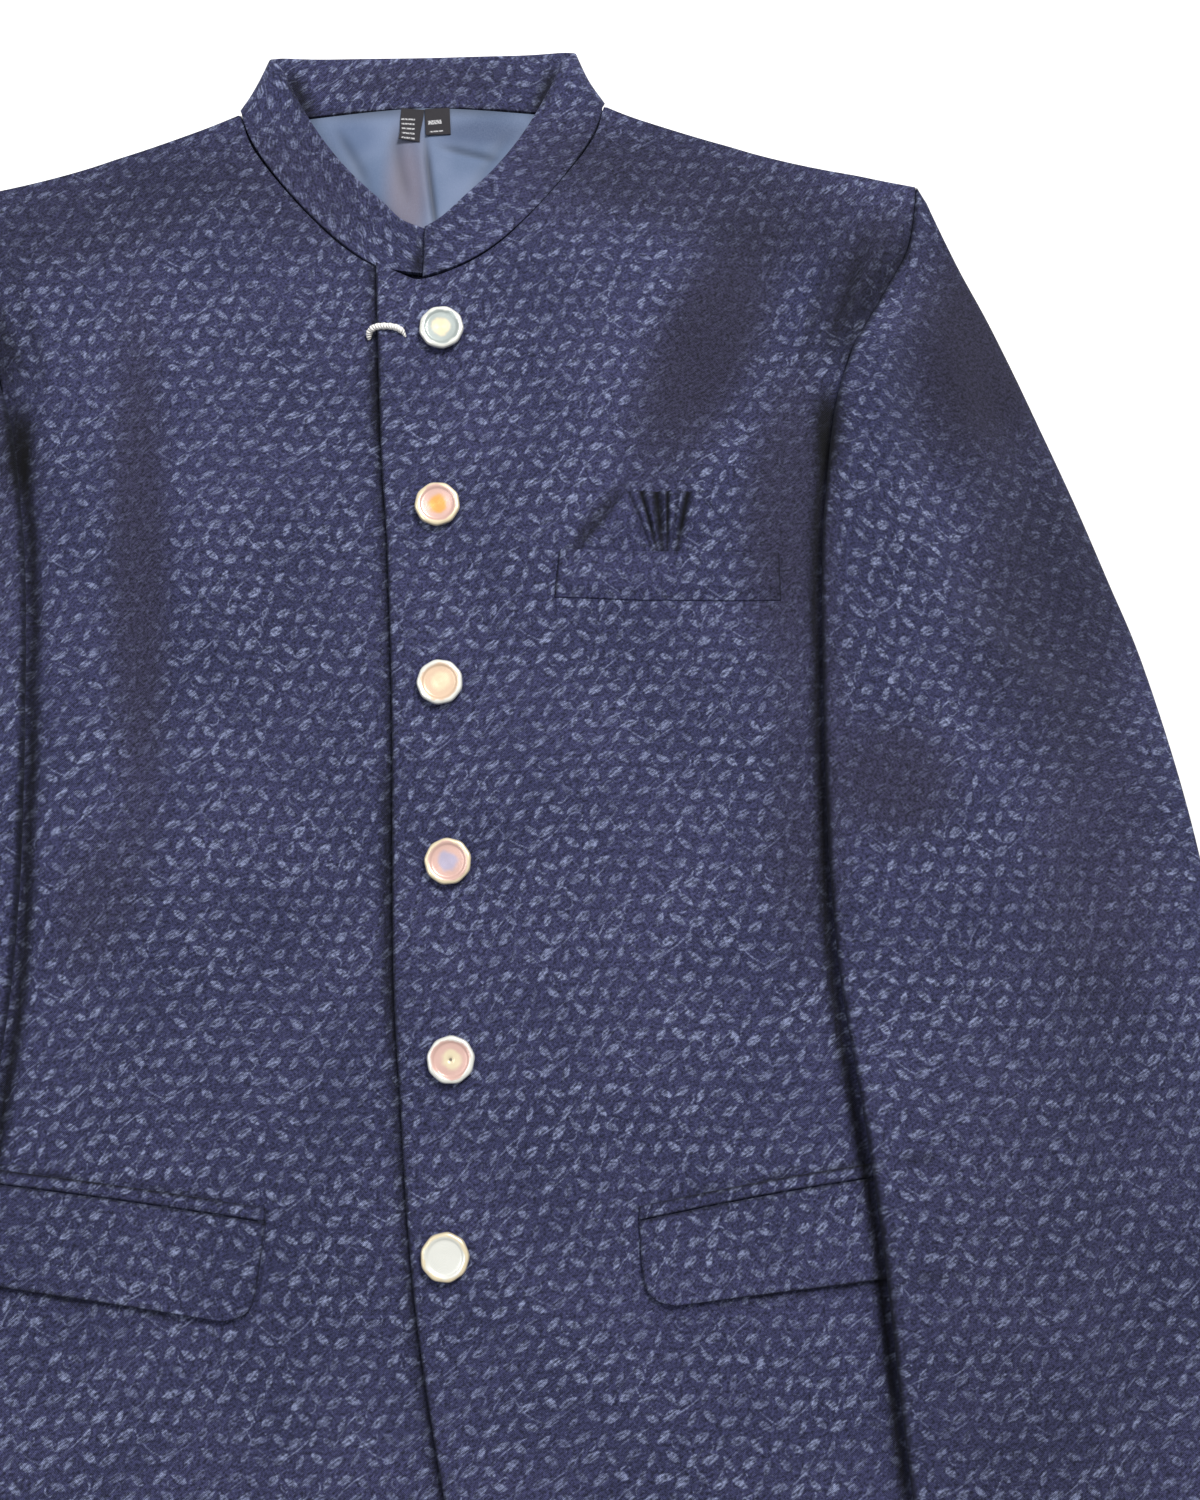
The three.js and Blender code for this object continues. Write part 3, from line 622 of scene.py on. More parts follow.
def srgb(r, g, b):
    """A linear colour from 8-bit screen values."""
    def one(c):
        c /= 255
        return c / 12.92 if c <= 0.04045 else ((c + 0.055) / 1.055) ** 2.4
    return (one(r), one(g), one(b), 1.0)


TILE = 48.0
# Leaves of one repeat of the sprig, whose sides are arcs of one radius: x, y, angle, half length
LEAF_BEND = 5.1
LEAVES = [
    (4, 4.5, 38, 4.0), (12.5, 3, 68, 3.5), (20, 5, -38, 3.7), (28, 3.5, 30, 4.0),
    (36.5, 5, 62, 3.4), (44, 3, -28, 3.6), (2.5, 12, -42, 3.6), (9.5, 11, 32, 3.9),
    (17.5, 13, 74, 3.5), (25, 11.5, -30, 3.6), (33, 12.5, 40, 4.0), (41, 11, 20, 3.8),
    (6, 19.5, 66, 3.6), (13.5, 20.5, -34, 3.8), (21.5, 20, 28, 4.0), (29.5, 19, 70, 3.5),
    (37, 21, -46, 3.6), (45.5, 19.5, 36, 3.9), (2, 28, 24, 3.8), (10, 27, 44, 4.0),
    (18, 29, -40, 3.5), (25.5, 27.5, 34, 3.9), (33.5, 28.5, -24, 3.7), (41.5, 27.5, 64, 3.5),
    (5.5, 36.5, -36, 3.7), (13.5, 35, 60, 3.6), (21, 36.5, 26, 4.0), (29, 35.5, -48, 3.5),
    (37.5, 36.5, 38, 3.9), (45, 35, 72, 3.4), (1.5, 44, 48, 3.7), (9.5, 43, -26, 3.6),
    (17, 44.5, 36, 3.9), (25, 43, 66, 3.5), (32.5, 44.5, 22, 3.8), (40.5, 43, -40, 3.6),
]
# Stems and curls of the repeat: x, y, angle, radius of the bend, reach from the middle
STEMS = [
    (12, 9, 40, 34, 13), (33, 20, 48, -28, 13), (10, 31, 38, 30, 12), (32, 40, 44, -32, 13),
    (42, 8, -40, 24, 10),
    (7.5, 8.5, 10, 2.6, 2.8), (24.5, 17, 110, 2.4, 2.6), (40, 24, 60, -2.8, 2.8), (15, 33, 150, 2.6, 2.6),
    (34.5, 32, 20, -2.4, 2.5), (22, 41, 80, 2.8, 2.7), (5.5, 40.5, 130, -2.6, 2.6), (45, 12, 70, 2.5, 2.5),
    (17, 24, 45, 2.6, 2.8), (37, 16, 30, 2.6, 2.7),
]


def nearest_of(m, distances):
    nearest = distances[0]
    for distance in distances[1:]:
        nearest = m.math("MINIMUM", nearest, distance)
    return nearest


def sprig(m, p):
    """Distances from the edge of the nearest leaf and from the nearest stem, in millimetres."""
    half = TILE / 2

    def repeated(x, y):
        return m.vector("WRAP", p, (x + half, y + half, 1.0), (x - half, y - half, -1.0))

    def distance(near, x, y, angle, aside):
        """Distance from the place that lies aside of x, y, across the angle."""
        a = math.radians(angle)
        place = (x - aside * math.sin(a), y + aside * math.cos(a), 0.0)
        return m.vector("DISTANCE", near, place, out=1)

    leaves, stems = [], []
    for x, y, angle, reach in LEAVES:
        near = repeated(x, y)
        off = math.sqrt(LEAF_BEND ** 2 - reach ** 2)
        leaves.append(m.math("MAXIMUM", *(distance(near, x, y, angle, s * off) for s in (1, -1))))
    for x, y, angle, bend, reach in STEMS:
        near = repeated(x, y)
        ring = m.math("SUBTRACT", distance(near, x, y, angle, bend), abs(bend))
        past = m.math("GREATER_THAN", distance(near, x, y, angle, 0.0), reach)
        stems.append(m.math("MULTIPLY_ADD", past, 9.0, m.math("ABSOLUTE", ring)))
    return m.math("SUBTRACT", nearest_of(m, leaves), LEAF_BEND), nearest_of(m, stems)


def cloth_material():
    m = Tree("jacquard")
    p = m.in_mm(m.add("UVMap", uv_map="UVMap"))
    # The painted sheen and the painted shade laid on the mesh's points.
    nap = m.add("Attribute", attribute_name="nap", out=2)
    tone = m.add("Attribute", attribute_name="tone", out=2)
    leaf_gap, stem_gap = sprig(m, p)
    long_way = m.vector("DOT_PRODUCT", p, (0.23, 0.16, 0.0), out=1)
    cross_way = m.vector("DOT_PRODUCT", p, (-0.66, 0.95, 0.0), out=1)
    streaks = m.ramp(m.noise(m.add("CombineXYZ", long_way, cross_way, 0.0), 1.0, 1.0), 0.36, 0.64)
    rough = m.noise(p, 0.8, 2.0, 0.6)
    fine = m.noise(p, 0.75, 2.0, 0.7)
    ragged = m.math("MULTIPLY_ADD", rough, 1.5, -0.75)
    leaf = m.ramp(m.math("ADD", leaf_gap, ragged), 0.35, -0.45)
    stem = m.ramp(m.math("ADD", stem_gap, m.math("MULTIPLY", ragged, 0.5)), 0.55, 0.12)
    patchy = m.ramp(m.noise(p, 0.024, 2.0), 0.34, 0.62, 0.66, 1.08)
    uneven = m.ramp(m.noise(p, 0.11, 1.0), 0.34, 0.62, 0.5, 1.12)
    # How strongly the sprig shows: its weave streaks and random unevenness, times the painted sheen.
    light = m.math("MULTIPLY_ADD", streaks, 0.56, 0.36)
    light = m.math("MULTIPLY", m.math("MULTIPLY", light, uneven), m.math("MULTIPLY", nap, patchy))
    flecks = m.math("MULTIPLY", m.ramp(rough, 0.56, 0.68), 0.42)
    drawn = m.math("MAXIMUM", leaf, m.math("MAXIMUM", m.math("MULTIPLY", stem, 0.75), flecks))
    show = m.math("MULTIPLY", drawn, light, clamp=True)
    axes = m.add("SeparateXYZ", p)
    diagonal = m.math("ADD", axes, axes.node.outputs[1])
    twill = m.math("SINE", m.math("MULTIPLY", diagonal, 2 * math.pi / 0.8))
    grain = m.math("MULTIPLY_ADD", twill, 0.06, m.ramp(fine, 0.36, 0.64, -0.44, 0.44))
    grain = m.math("MULTIPLY_ADD", m.math("SUBTRACT", streaks, 0.5), 0.46, grain)
    ground = m.mix(m.ramp(m.noise(p, 0.014, 2.0), 0.3, 0.7), srgb(45, 47, 77), srgb(53, 54, 86))
    # Where the sprig's sheen is painted away, the ground is painted a darker purple as shade.
    ground = m.mix(m.math("MULTIPLY_ADD", nap, -0.8, 0.8), ground, srgb(50, 48, 69))
    color = m.mix(show, ground, srgb(111, 118, 147))
    # Brightness: the weave's grain times the painted shade.
    light = m.math("MULTIPLY", m.math("ADD", grain, 1.0), tone)
    shaded = m.vector("SCALE", color, None, None, light)
    height = m.math("MULTIPLY_ADD", twill, 0.25, fine)
    return m.shade(shaded, 0.82, height, 0.0004, Sheen_Weight=0.1, Sheen_Roughness=0.45,
                   Sheen_Tint=srgb(170, 180, 215), Specular_IOR_Level=0.22)


def lining_material():
    m = Tree("satin_lining")
    place = m.in_mm(m.add("TexCoord", out=3))
    cloud = m.ramp(m.noise(place, 0.026, 2.0), 0.35, 0.65)
    color = m.mix(cloud, srgb(79, 96, 125), srgb(99, 113, 141))
    # Tints over the lining: a grey-mauve band down the middle, painted shade at the top right and a darker
    # blue patch at the top left.
    for x, y, reach_x, reach_y, tint in (
        (-8, 322, 12, 40, srgb(100, 95, 110)),
        (28, 353, 26, 9, srgb(56, 71, 100)),
        (-34, 352, 16, 12, srgb(74, 91, 122)),
    ):
        local = m.vector("SUBTRACT", place, (x, y, 0))
        local = m.vector("MULTIPLY", local, (1 / reach_x, 1 / reach_y, 0))
        color = m.mix(m.ramp(m.vector("LENGTH", local, out=1), 1.25, 0.3, 0.0, 0.92), color, tint)
    weave = m.noise(place, 2.6, 1.0)
    color = m.mix(m.ramp(weave, 0.3, 0.7, 0.0, 0.12), color, srgb(130, 142, 170))
    # Darkened by the painted shade laid on the mesh.
    shaded = m.vector("SCALE", color, None, None, m.add("Attribute", attribute_name="tone", out=2))
    return m.shade(shaded, 0.6, weave, 0.00006, Specular_IOR_Level=0.3, Sheen_Weight=0.1)


def label_material(name, bars, long_share):
    """Black tape with plain light bars, broken up by its weave."""
    m = Tree(name)
    uv = m.in_mm(m.add("UVMap", uv_map="UVMap"))
    axes = m.add("SeparateXYZ", uv)
    x, y = axes, axes.node.outputs[1]
    broken = m.ramp(m.noise(uv, 1.1, 1.0), 0.44, 0.5)
    shown = 0.0
    for place, half in bars:
        row = m.ramp(m.math("ABSOLUTE", m.math("SUBTRACT", y, place)), half + 0.12, half - 0.12)
        shown = m.math("MAXIMUM", shown, row)
    inside = m.ramp(m.math("ABSOLUTE", x), long_share + 0.2, long_share - 0.2)
    worn = m.math("MULTIPLY_ADD", broken, 0.6, 0.25)
    shown = m.math("MULTIPLY", m.math("MULTIPLY", shown, inside), worn)
    color = m.mix(shown, srgb(36, 34, 40), srgb(188, 188, 192))
    ribs = m.math("SINE", m.math("MULTIPLY", y, 2 * math.pi / 0.45))
    return m.shade(color, 0.6, ribs, 0.00004, Specular_IOR_Level=0.3)


def thread_material():
    m = Tree("white_thread")
    uv = m.add("UVMap", uv_map="UVMap")
    turns = m.vector("DOT_PRODUCT", uv, (2 * math.pi / 0.0012, 2 * math.pi / 0.003, 0.0), out=1)
    ply = m.math("SINE", turns)
    color = m.mix(m.ramp(ply, -0.9, 0.4), srgb(222, 218, 214), srgb(252, 250, 246))
    return m.shade(color, 0.6, ply, 0.0002, Sheen_Weight=0.3)


TINTS = {
    "cool": srgb(168, 177, 175), "amber": srgb(222, 166, 92), "rose": srgb(214, 178, 168),
    "peach": srgb(220, 192, 166), "cream": srgb(228, 214, 182), "pale": srgb(228, 229, 222),
    "lilac": srgb(182, 174, 196),
}


def button_material(place, middle, ring, rim, dimple):
    """Pearly metal whose tint changes from the middle to the rim."""
    m = Tree(f"pearly_metal_{place}")
    radius = m.math("MULTIPLY", m.add("SeparateXYZ", m.add("UVMap", uv_map="UVMap")), 1 / MM)
    cloud = m.noise(m.in_mm(m.add("TexCoord", out=3)), 0.16, 2.0)
    wave = m.math("ADD", radius, m.math("MULTIPLY_ADD", cloud, 4.0, -2.0))
    color = m.mix(m.ramp(wave, 3.0, 5.4), TINTS[middle], TINTS[ring])
    color = m.mix(m.ramp(wave, 7.9, 9.0), color, TINTS[rim])
    # Painted shade in the dimple.
    color = m.mix(m.ramp(radius, 1.1, 0.4, 0.0, dimple), color, srgb(70, 62, 66))
    color = m.mix(m.ramp(radius, 9.6, 10.2, 0.0, 0.35), color, srgb(120, 112, 122))
    rings = m.math("SINE", m.math("MULTIPLY", radius, 2 * math.pi / 0.6))
    brushed = m.math("MULTIPLY_ADD", cloud, 0.6, rings)
    return m.shade(color, 0.3, brushed, 0.00001, Metallic=0.35, Specular_IOR_Level=0.5)


# Each slot's cloth: the end of its pieces' names, and its look unless a piece brings its own
CLOTHS = {
    "cloth": ("cloth", cloth_material()),
    "lining": ("satin", lining_material()),
    "label": ("woven", None),
}
LABEL_LOOKS = {
    "care": label_material("tape_care", [(y, 0.42) for y in (-5.6, -3.0, -0.4, 2.2, 4.8)], 3.6),
    "size": label_material("tape_size", [(1.6, 1.1), (-3.4, 0.35)], 3.4),
}
THREAD_LOOK = thread_material()


# Pieces
def front_grid(edge, neck_start, columns, rows):
    body = BODY_OUTLINE[::-1]
    u, v = spread(columns, 280), spread(rows, 720)
    right = along(body, v)
    heights = ((right[:, 1] - HEM) / (right[-1, 1] - HEM)) ** 1.3
    left = along(dense(edge), heights)
    top = along(np.concatenate([dense(neck_start + NECKLINE), dense(SHOULDER)]), u)
    bottom = along(np.array([edge[0], SIDE_SEAM[-1]], float), u)
    return patch(bottom, top, left, right, u, v)


def mirrored(grid):
    return grid * np.array([-1, 1])


def make_fronts():
    grid = front_grid(LAP_EDGE, LAP_NECK, 150, 260)
    x, y = grid[..., 0], grid[..., 1]
    spring, crease = edge_spring(x, y), relief(x, y)
    low = lap_low(x, y)
    high = low + front_thickness(x, y) + crease + spring
    # Painted shade along its rims, most along its free edge.
    layer("front_left", grid, low + np.maximum(crease, 0) * 0.8 + spring, high, (1.4, 0.5, 1.6, 1.6),
          ["front_right", "back"], tone=rim_tone(grid, (0.2, 0.2, EDGE_SHADE, 0.4), 2.0))
    grid = mirrored(front_grid(UNDER_EDGE, UNDER_NECK, 140, 260))
    x, y = grid[..., 0], grid[..., 1]
    crease = relief(x, y)
    low = under_low(x, y)
    # Painted shade on the under front beside the lapping front's free edge.
    from_lap = np.minimum(lap_edge(y) - x, 12)
    under_lap = 1 - EDGE_SHADE * np.exp(-(from_lap / 4.0) ** 2)
    high = low + front_thickness(x, y) + crease
    # Painted shade along its rims and beside the lapping edge.
    layer("front_right", grid, low + np.maximum(crease, 0) * 0.8, high, (1.4, 0.5, 1.4, 1.6), ["back"],
          uv=grid + (17, 9), flip=True, tone=rim_tone(grid, (0.2, 0.3, 0.0, 0.4), 1.6) * under_lap)


def make_back():
    half_top = np.concatenate([dense(BACK_NECK), dense(SHOULDER)[1:]])
    top_line = np.concatenate([half_top[::-1] * (-1, 1), half_top[1:]])
    u, v = spread(70, 560), spread(90, 720)
    right = along(BODY_OUTLINE[::-1], v)
    right[:, 0] += ARMHOLE_COVER * np.exp(-(((right[:, 1] - COVER_Y) / COVER_HALF) ** 2))
    left = right * (-1, 1)
    end = SIDE_SEAM[-1][0]
    bottom = along(np.array([(-end, HEM), (end, HEM)], float), u)
    grid = patch(bottom, along(top_line, u), left, right, u, v)
    flat = np.zeros(grid.shape[:2])
    layer("back", grid, flat, flat + CLOTH, (1.3, 0.6, 0.9, 0.9), ["floor"], uv=grid + (5, 21))


def make_lining():
    rows = spread(60, 75, 0.5)
    cols = spread(80, 100, 0.5)
    top = along(dense([(-58, 361.6), (0, NECK_SEAM - SEAM), (58, 361.6)]), cols)
    bottom = along(dense([(-20, 290), (0, 286), (20, 290)]), cols)
    left, right = straight(-20, 290, -58, 361.6, rows), straight(20, 290, 58, 361.6, rows)
    grid = patch(bottom, top, left, right, cols, rows)
    x, y = grid[..., 0], grid[..., 1]
    folds = crease_at(x, y, [
        (0.5, 2.4, [(-3.0, 362), (-2.4, 350), (-0.4, 328), (2.2, 306), (3.4, 288)]),
        (-1.0, 1.5, [(0.6, 360), (0.9, 350), (3.1, 328.7), (5.6, 306), (6.4, 288)]),
        (-0.8, 1.6, [(5.6, 346), (18, 342.6), (36, 337)]),
        (0.7, 3.5, [(9, 350), (22, 347), (38, 343)]),
        (0.8, 8, [(-30, 360), (-22, 335), (-12, 306)]),
        (-0.7, 3, [(-14, 362), (-12, 340), (-6, 312)]),
        (-0.7, 2.5, [(-44, 360), (-34, 342), (-24, 322)]),
        (-0.6, 3, [(44, 356), (30, 334), (18, 312)]),
    ])
    # Painted shade along the lining's folds and along its top seam.
    shade = 1 - crease_at(x, y, [
        (0.62, 1.5, [(0.6, 360), (0.9, 350), (3.1, 328.7), (5.6, 306), (6.4, 288)]),
        (0.4, 1.8, [(4, 348), (18, 343.4), (40, 338)]),
        (0.28, 3.0, [(-14, 362), (-12, 340), (-6, 312)]),
        (0.3, 2.6, [(-44, 360), (-34, 342), (-24, 322)]),
        (0.16, 3.0, [(44, 356), (30, 334), (18, 312)]),
        (0.35, 3.0, [(-60, 361), (0, 365), (60, 361)]),
    ])
    low = np.full(x.shape, CLOTH + SEAM)
    layer("lining_back", grid, low, low + LINING + folds, (0.4,) * 4, ["back"], slot="lining",
          tone=shade)


def make_labels():
    low = CLOTH + 2 * SEAM + LINING
    for name, x, width, depth, turn, twist, pinch in (
        ("care", -5.8, 11, 17, -6, 1.8, 0.16), ("size", 7, 12, 14, 2, 0.5, 0.0),
    ):
        u, v = spread(24, width, 0.35), spread(30, depth, 0.35)
        lx, ly = np.meshgrid((u - 0.5) * width, (v - 0.5) * depth)
        up = v[:, None]
        narrow = 1 - pinch * (1 - up) * (0.5 + 0.5 * np.sin(up * 5))
        grid = np.dstack(turned(lx * narrow, ly, turn)) + (x, NECK_SEAM - 1 - depth / 2)
        curl = twist * (1 - up) ** 2 * (0.5 + 0.5 * np.cos(2.4 * u[None] + 0.4))
        curl = np.maximum(curl + 0.3 * np.sin(3 * up), 0)
        layer(f"label_{name}", grid, low + curl, low + curl + LABEL, (0.2,) * 4, ["lining_back"],
              uv=np.dstack([lx, ly]), slot="label", look=LABEL_LOOKS[name])


def make_collar():
    def half(side):
        rows = []
        for seam_x, seam_y, free_x, free_y, left, right, rise in COLLAR:
            z = left if side > 0 else right
            rows.append((side * seam_x, seam_y + SEAM, z, side * free_x, free_y, z + rise))
        return rows
    rows = half(-1)
    tuck_x, tuck_seam, tuck_free = COLLAR_TUCK
    rows[0] = (tuck_x, tuck_seam, rows[0][2], tuck_x, tuck_free, rows[0][5])
    rows = np.array(rows + half(1)[::-1][1:], float)
    line = smooth(rows, np.linspace(0, len(rows) - 1, 24 * (len(rows) - 1) + 1))
    middle_line = (line[:, :3] + line[:, 3:]) / 2
    line = along(np.hstack([middle_line, line]), spread(330, lengths(middle_line)[-1]))[:, 3:]
    seam, free = line[:, :3], line[:, 3:]
    cross = spread(18, 28)
    grid = seam[:, None] * (1 - cross)[None, :, None] + free[:, None] * cross[None, :, None]
    forward = np.gradient(seam, axis=0) + np.gradient(free, axis=0)
    normal = np.cross(forward, free - seam)
    normal /= np.linalg.norm(normal, axis=1)[:, None]
    normal = normal[:, None]
    half_cloth = COLLAR_CLOTH / 2
    drop = rim_drop(grid, (1.3, 1.3, 0.3, 1.45))
    reach = reach_of(grid, 0)
    belly = (0.9 + 0.35 * np.sin(reach / 21.0)) * np.sin(math.pi * cross)[None, :]
    outer = grid + normal * (half_cloth + belly - drop)[..., None]
    inner = grid - normal * (half_cloth - belly * 0.8 - drop)[..., None]
    uv = np.dstack([reach.mean(1)[:, None] + 0 * reach, reach_of(grid, 1)]) + (30, 12)
    # Painted shade at both ends of the collar and a little along its seam.
    wall("collar", outer, inner, uv, ["back", "front_left", "front_right"],
         tone=rim_tone(grid, (0.4, 0.4, 0.1, 0.0), 1.2))


def make_sleeve(side, name):
    rows = 190
    cuff = 1.2 * (1 - np.sin(np.radians(np.arange(0, 91, 15)))) / 75
    t = np.r_[np.linspace(0, LAST_SECTION, rows)[:-1], LAST_SECTION - cuff]
    inner, outer = smooth(SLEEVE[:, :2], t), smooth(SLEEVE[:, 2:], t)
    seam = smooth(np.array(ARMHOLE, float), np.minimum(t, SEAM_SECTIONS - 1))
    on_seam = (t <= SEAM_SECTIONS - 1)[:, None]
    start = np.where(on_seam, seam, inner)
    start[:, 0] += SEAM_SHOWN * (1 - step((t - SEAM_SECTIONS + 1) / 0.6))
    share = spread(58, 130, 2.2)
    grid = start[:, None] * (1 - share)[None, :, None] + outer[:, None] * share[None, :, None]
    if side < 0:
        grid = mirrored(grid)
    x, y = grid[..., 0], grid[..., 1]
    width = np.linalg.norm(grid[:, 0] - grid[:, -1], axis=1)[:, None]
    rest = sleeve_rest(x, y)
    puff = PUFF * np.minimum(1, width / 110) * (1 - 0.75 * step((t[:, None] - 12.4) / 1.5))
    gap = SEAM + puff * np.sqrt(np.maximum(np.sin(math.pi * share), 0))[None, :]
    spine = lengths(grid.mean(1))
    cloth_x = (share[None, :] - 0.5) * width * side
    cloth_y = spine[:, None] + 0 * x
    whole = np.arange(LAST_SECTION + 1)
    sections = np.interp(whole, t, spine)

    def placed(points):
        """Flat places on the sleeve of a crease's points."""
        across, down = np.array(points).T
        return np.stack([(across - 0.5) * np.interp(down, t, width[:, 0]) * side,
                         np.interp(down, whole, sections)], 1)

    crease = crease_at(cloth_x, cloth_y, [(h, w, placed(p)) for h, w, p in SLEEVE_CREASES])
    crease *= step((t[:, None] - 1.2) / 2.5)
    under_top = rest + SLEEVE_CLOTH
    over_low = under_top + gap
    plain = over_low + SLEEVE_CLOTH + padding(x, y)
    crown = 1 - step((np.abs(x) - half_width(y)) / CROWN_REACH)
    over_top = plain + crown * np.maximum(0, solid_top(x, y) + REST_GAP - plain) + crease
    edge = 1.9 + 0.3 * step((t - 3.6) / 1.2)
    drop = rim_drop(grid, (0.8, 1.0, edge, 2.2))
    # Painted shade along the sleeve's rims, most along its inner edge and armhole seam; the under sleeve is
    # painted at half light.
    tone = rim_tone(grid, (0.3, 0.0, 0.5, 0.3), 2.4)
    uv = np.dstack([cloth_x, -cloth_y]) + (11, 31)
    over_low = over_low + np.maximum(crease, 0) * 0.8
    wall(f"sleeve_{name}_top", lifted(grid, over_top - drop), lifted(grid, over_low), uv,
         [f"sleeve_{name}_under"], flip=side > 0, tone=tone)
    wall(f"sleeve_{name}_under", lifted(grid, under_top), lifted(grid, rest + 0.9 * drop), uv + (23, 7),
         ["floor", "back", f"front_{name}"], flip=side > 0, tone=0.5)


def applied(node, grid, thickness, radii, rise=0.0, gap=SEAM, **more):
    """A piece on a front, made from the front's own surface."""
    low = front_top(grid[..., 0], grid[..., 1]) + gap + rise
    front = "front_left" if grid[..., 0].mean() > 0 else "front_right"
    layer(node, grid, low, low + thickness, radii, [front], **more)


def make_chest_pocket():
    left, right, bottom_y, top_y, fall, lean = WELT.values()
    drop = (right - left) * fall
    u, v = spread(60, right - left, 1.0), spread(16, 22, 1.0)
    grid = four_cornered((left, bottom_y), (right, bottom_y - drop), (left + lean, top_y),
                         (right, top_y - drop), u, v)
    lip = 0.7 * (v[:, None] ** 2) * np.sin(math.pi * u)[None, :] - 0.27 * (1 - v[:, None]) ** 8
    thickness = FLAP * (0.35 + 0.65 * step(v[:, None] / 0.3))
    # Painted shade at the welt's ends and a little along its top.
    applied("pocket_welt", grid, thickness, (0.5, 0.6, 0.95, 0.95), rise=lip, uv=grid + (6, 27),
            tone=rim_tone(grid, (0.0, 0.1, 0.8, 0.8), 1.5))

    def base(x):
        return top_y - (x - left) * fall + 0.2

    s = SQUARE
    peak = base(s["top_left"]) + s["height"]
    u, v = spread(190, 60, 0.5), spread(40, s["height"], 0.5)
    grid = four_cornered((s["left"], base(s["left"])), (s["right"], base(s["right"])),
                         (s["top_left"], peak), (s["top_right"], peak - 1), u, v)
    x, y = grid[..., 0], grid[..., 1]
    up = (y - base(x)) / s["height"]
    left_flank, right_flank = 88 - 16 * (1 - up), 124 + 4 * (1 - up)
    puffed = 3.8 * step((x - left_flank) / 9) * (1 - step((x - right_flank) / 14)) * step(up / 0.6)
    pleats, dark = np.zeros_like(x), np.zeros_like(x)
    for at_top, at_bottom, width, depth in GROOVES:
        middle = at_bottom + (at_top - at_bottom) * up
        groove = np.exp(-(((x - middle) / (width * (0.6 + 0.4 * up))) ** 2))
        groove *= 0.8 + 0.2 * step(up / 0.5)
        pleats = np.maximum(pleats, depth * groove)
        dark = np.maximum(dark, groove * min(0.96, depth / 2.7))
    rise = np.maximum(puffed - pleats, -0.3) + 0.25 - 0.3 * (1 - step(up / 0.1))
    # Painted shade in the square's grooves and along its rims.
    shade = (1 - dark) * rim_tone(grid, (0.1, 0.0, 0.4, 0.2), 3.0)
    applied("pocket_square", grid, SQUARE_CLOTH, (0.2, 0.5, 0.5, 0.5), rise=rise, gap=2 * SEAM,
            uv=grid + (15, 3), tone=shade)


def along_strip(grid, rise, side):
    """Flat coordinates that run along a slanting strip."""
    return np.dstack(turned(grid[..., 0], grid[..., 1], -side * math.degrees(math.atan(rise))))


def make_flaps():
    for name, side, front_x, top_y, rise, low_rise, depth, bow, lean in FLAPS:
        end, low_y = front_x + FLAP_LENGTH, top_y - depth
        end_y, low_end_y = top_y + FLAP_LENGTH * rise, low_y + FLAP_LENGTH * low_rise
        u, v, strip_v = spread(80, FLAP_LENGTH, 1.0), spread(28, depth, 1.0), spread(6, JET_WIDTH, 0.7)
        low_x = front_x + lean
        corner = (low_x + 13, low_y + 1)
        curve = dense([corner, (low_x + 4, low_y + 4), (low_x, low_y + 13), (front_x, top_y)])
        grid = patch(straight(*corner, end, low_end_y, u), straight(front_x, top_y, end, end_y, u, bow),
                     along(curve, v), straight(end, low_end_y, end, end_y, v), u, v)
        foot, end_foot = top_y + 2 * SEAM, end_y + 2 * SEAM
        strip = four_cornered((front_x, foot), (end, end_foot), (front_x, foot + JET_WIDTH),
                              (end, end_foot + JET_WIDTH), u, strip_v, bow)
        curl = 0.9 * (1 - v[:, None]) ** 2 * (0.6 + 0.4 * np.cos(9 * u))[None, :]
        if side < 0:
            grid, strip = mirrored(grid), mirrored(strip)
        # Painted shade along the rims of flap and jet, but not at their back ends.
        applied(f"flap_{name}", grid, FLAP, (1.0,) * 4, rise=curl, flip=side < 0,
                uv=along_strip(grid, rise, side) + (9, 14), tone=rim_tone(grid, (0.5, 0.6, 0.55, 0.0), 1.5))
        applied(f"jet_{name}", strip, JET, (0.7,) * 4, flip=side < 0,
                uv=along_strip(strip, rise, side) + (3, 33), tone=rim_tone(strip, (0.5, 0.6, 0.5, 0.0), 1.5))


def round_angles(sides):
    return np.arange(sides) * 2 * math.pi / sides


def make_round(name, points, uv, material):
    """A closed turned or drawn shape from its rings of points, with flat faces over both ends."""
    rows, sides = points.shape[:2]
    at = np.arange(rows * sides).reshape(rows, sides)
    after = np.roll(at, -1, axis=1)
    quads = list(np.stack([at[:-1], after[:-1], after[1:], at[1:]], -1).reshape(-1, 4))
    for ring, order in ((at[0], -1), (at[-1], 1)):
        for i in range(sides // 2 - 1):
            quad = np.array([ring[i], ring[i + 1], ring[sides - 2 - i], ring[sides - 1 - i]])
            quads.append(quad[::order])
    return make_mesh(name, points.reshape(-1, 3), quads, uv.reshape(-1, 2), material)


BUTTON_PROFILE = [
    (0, 0), (2.6, 0), (2.9, 0.4), (2.9, 1.2), (5, 1.35), (8.8, 1.5), (9.8, 1.9), (10.2, 2.5), (10.2, 3.1),
    (9.95, 3.7), (9.4, 4.15), (8.7, 4.3), (8.1, 4.2), (7.6, 3.95), (7.2, 3.68), (6.7, 3.54),
    (5.4, 3.5), (3.6, 3.48), (1.8, 3.44), (1.2, 3.3), (0.7, 3.12), (0.0, 3.06),
]


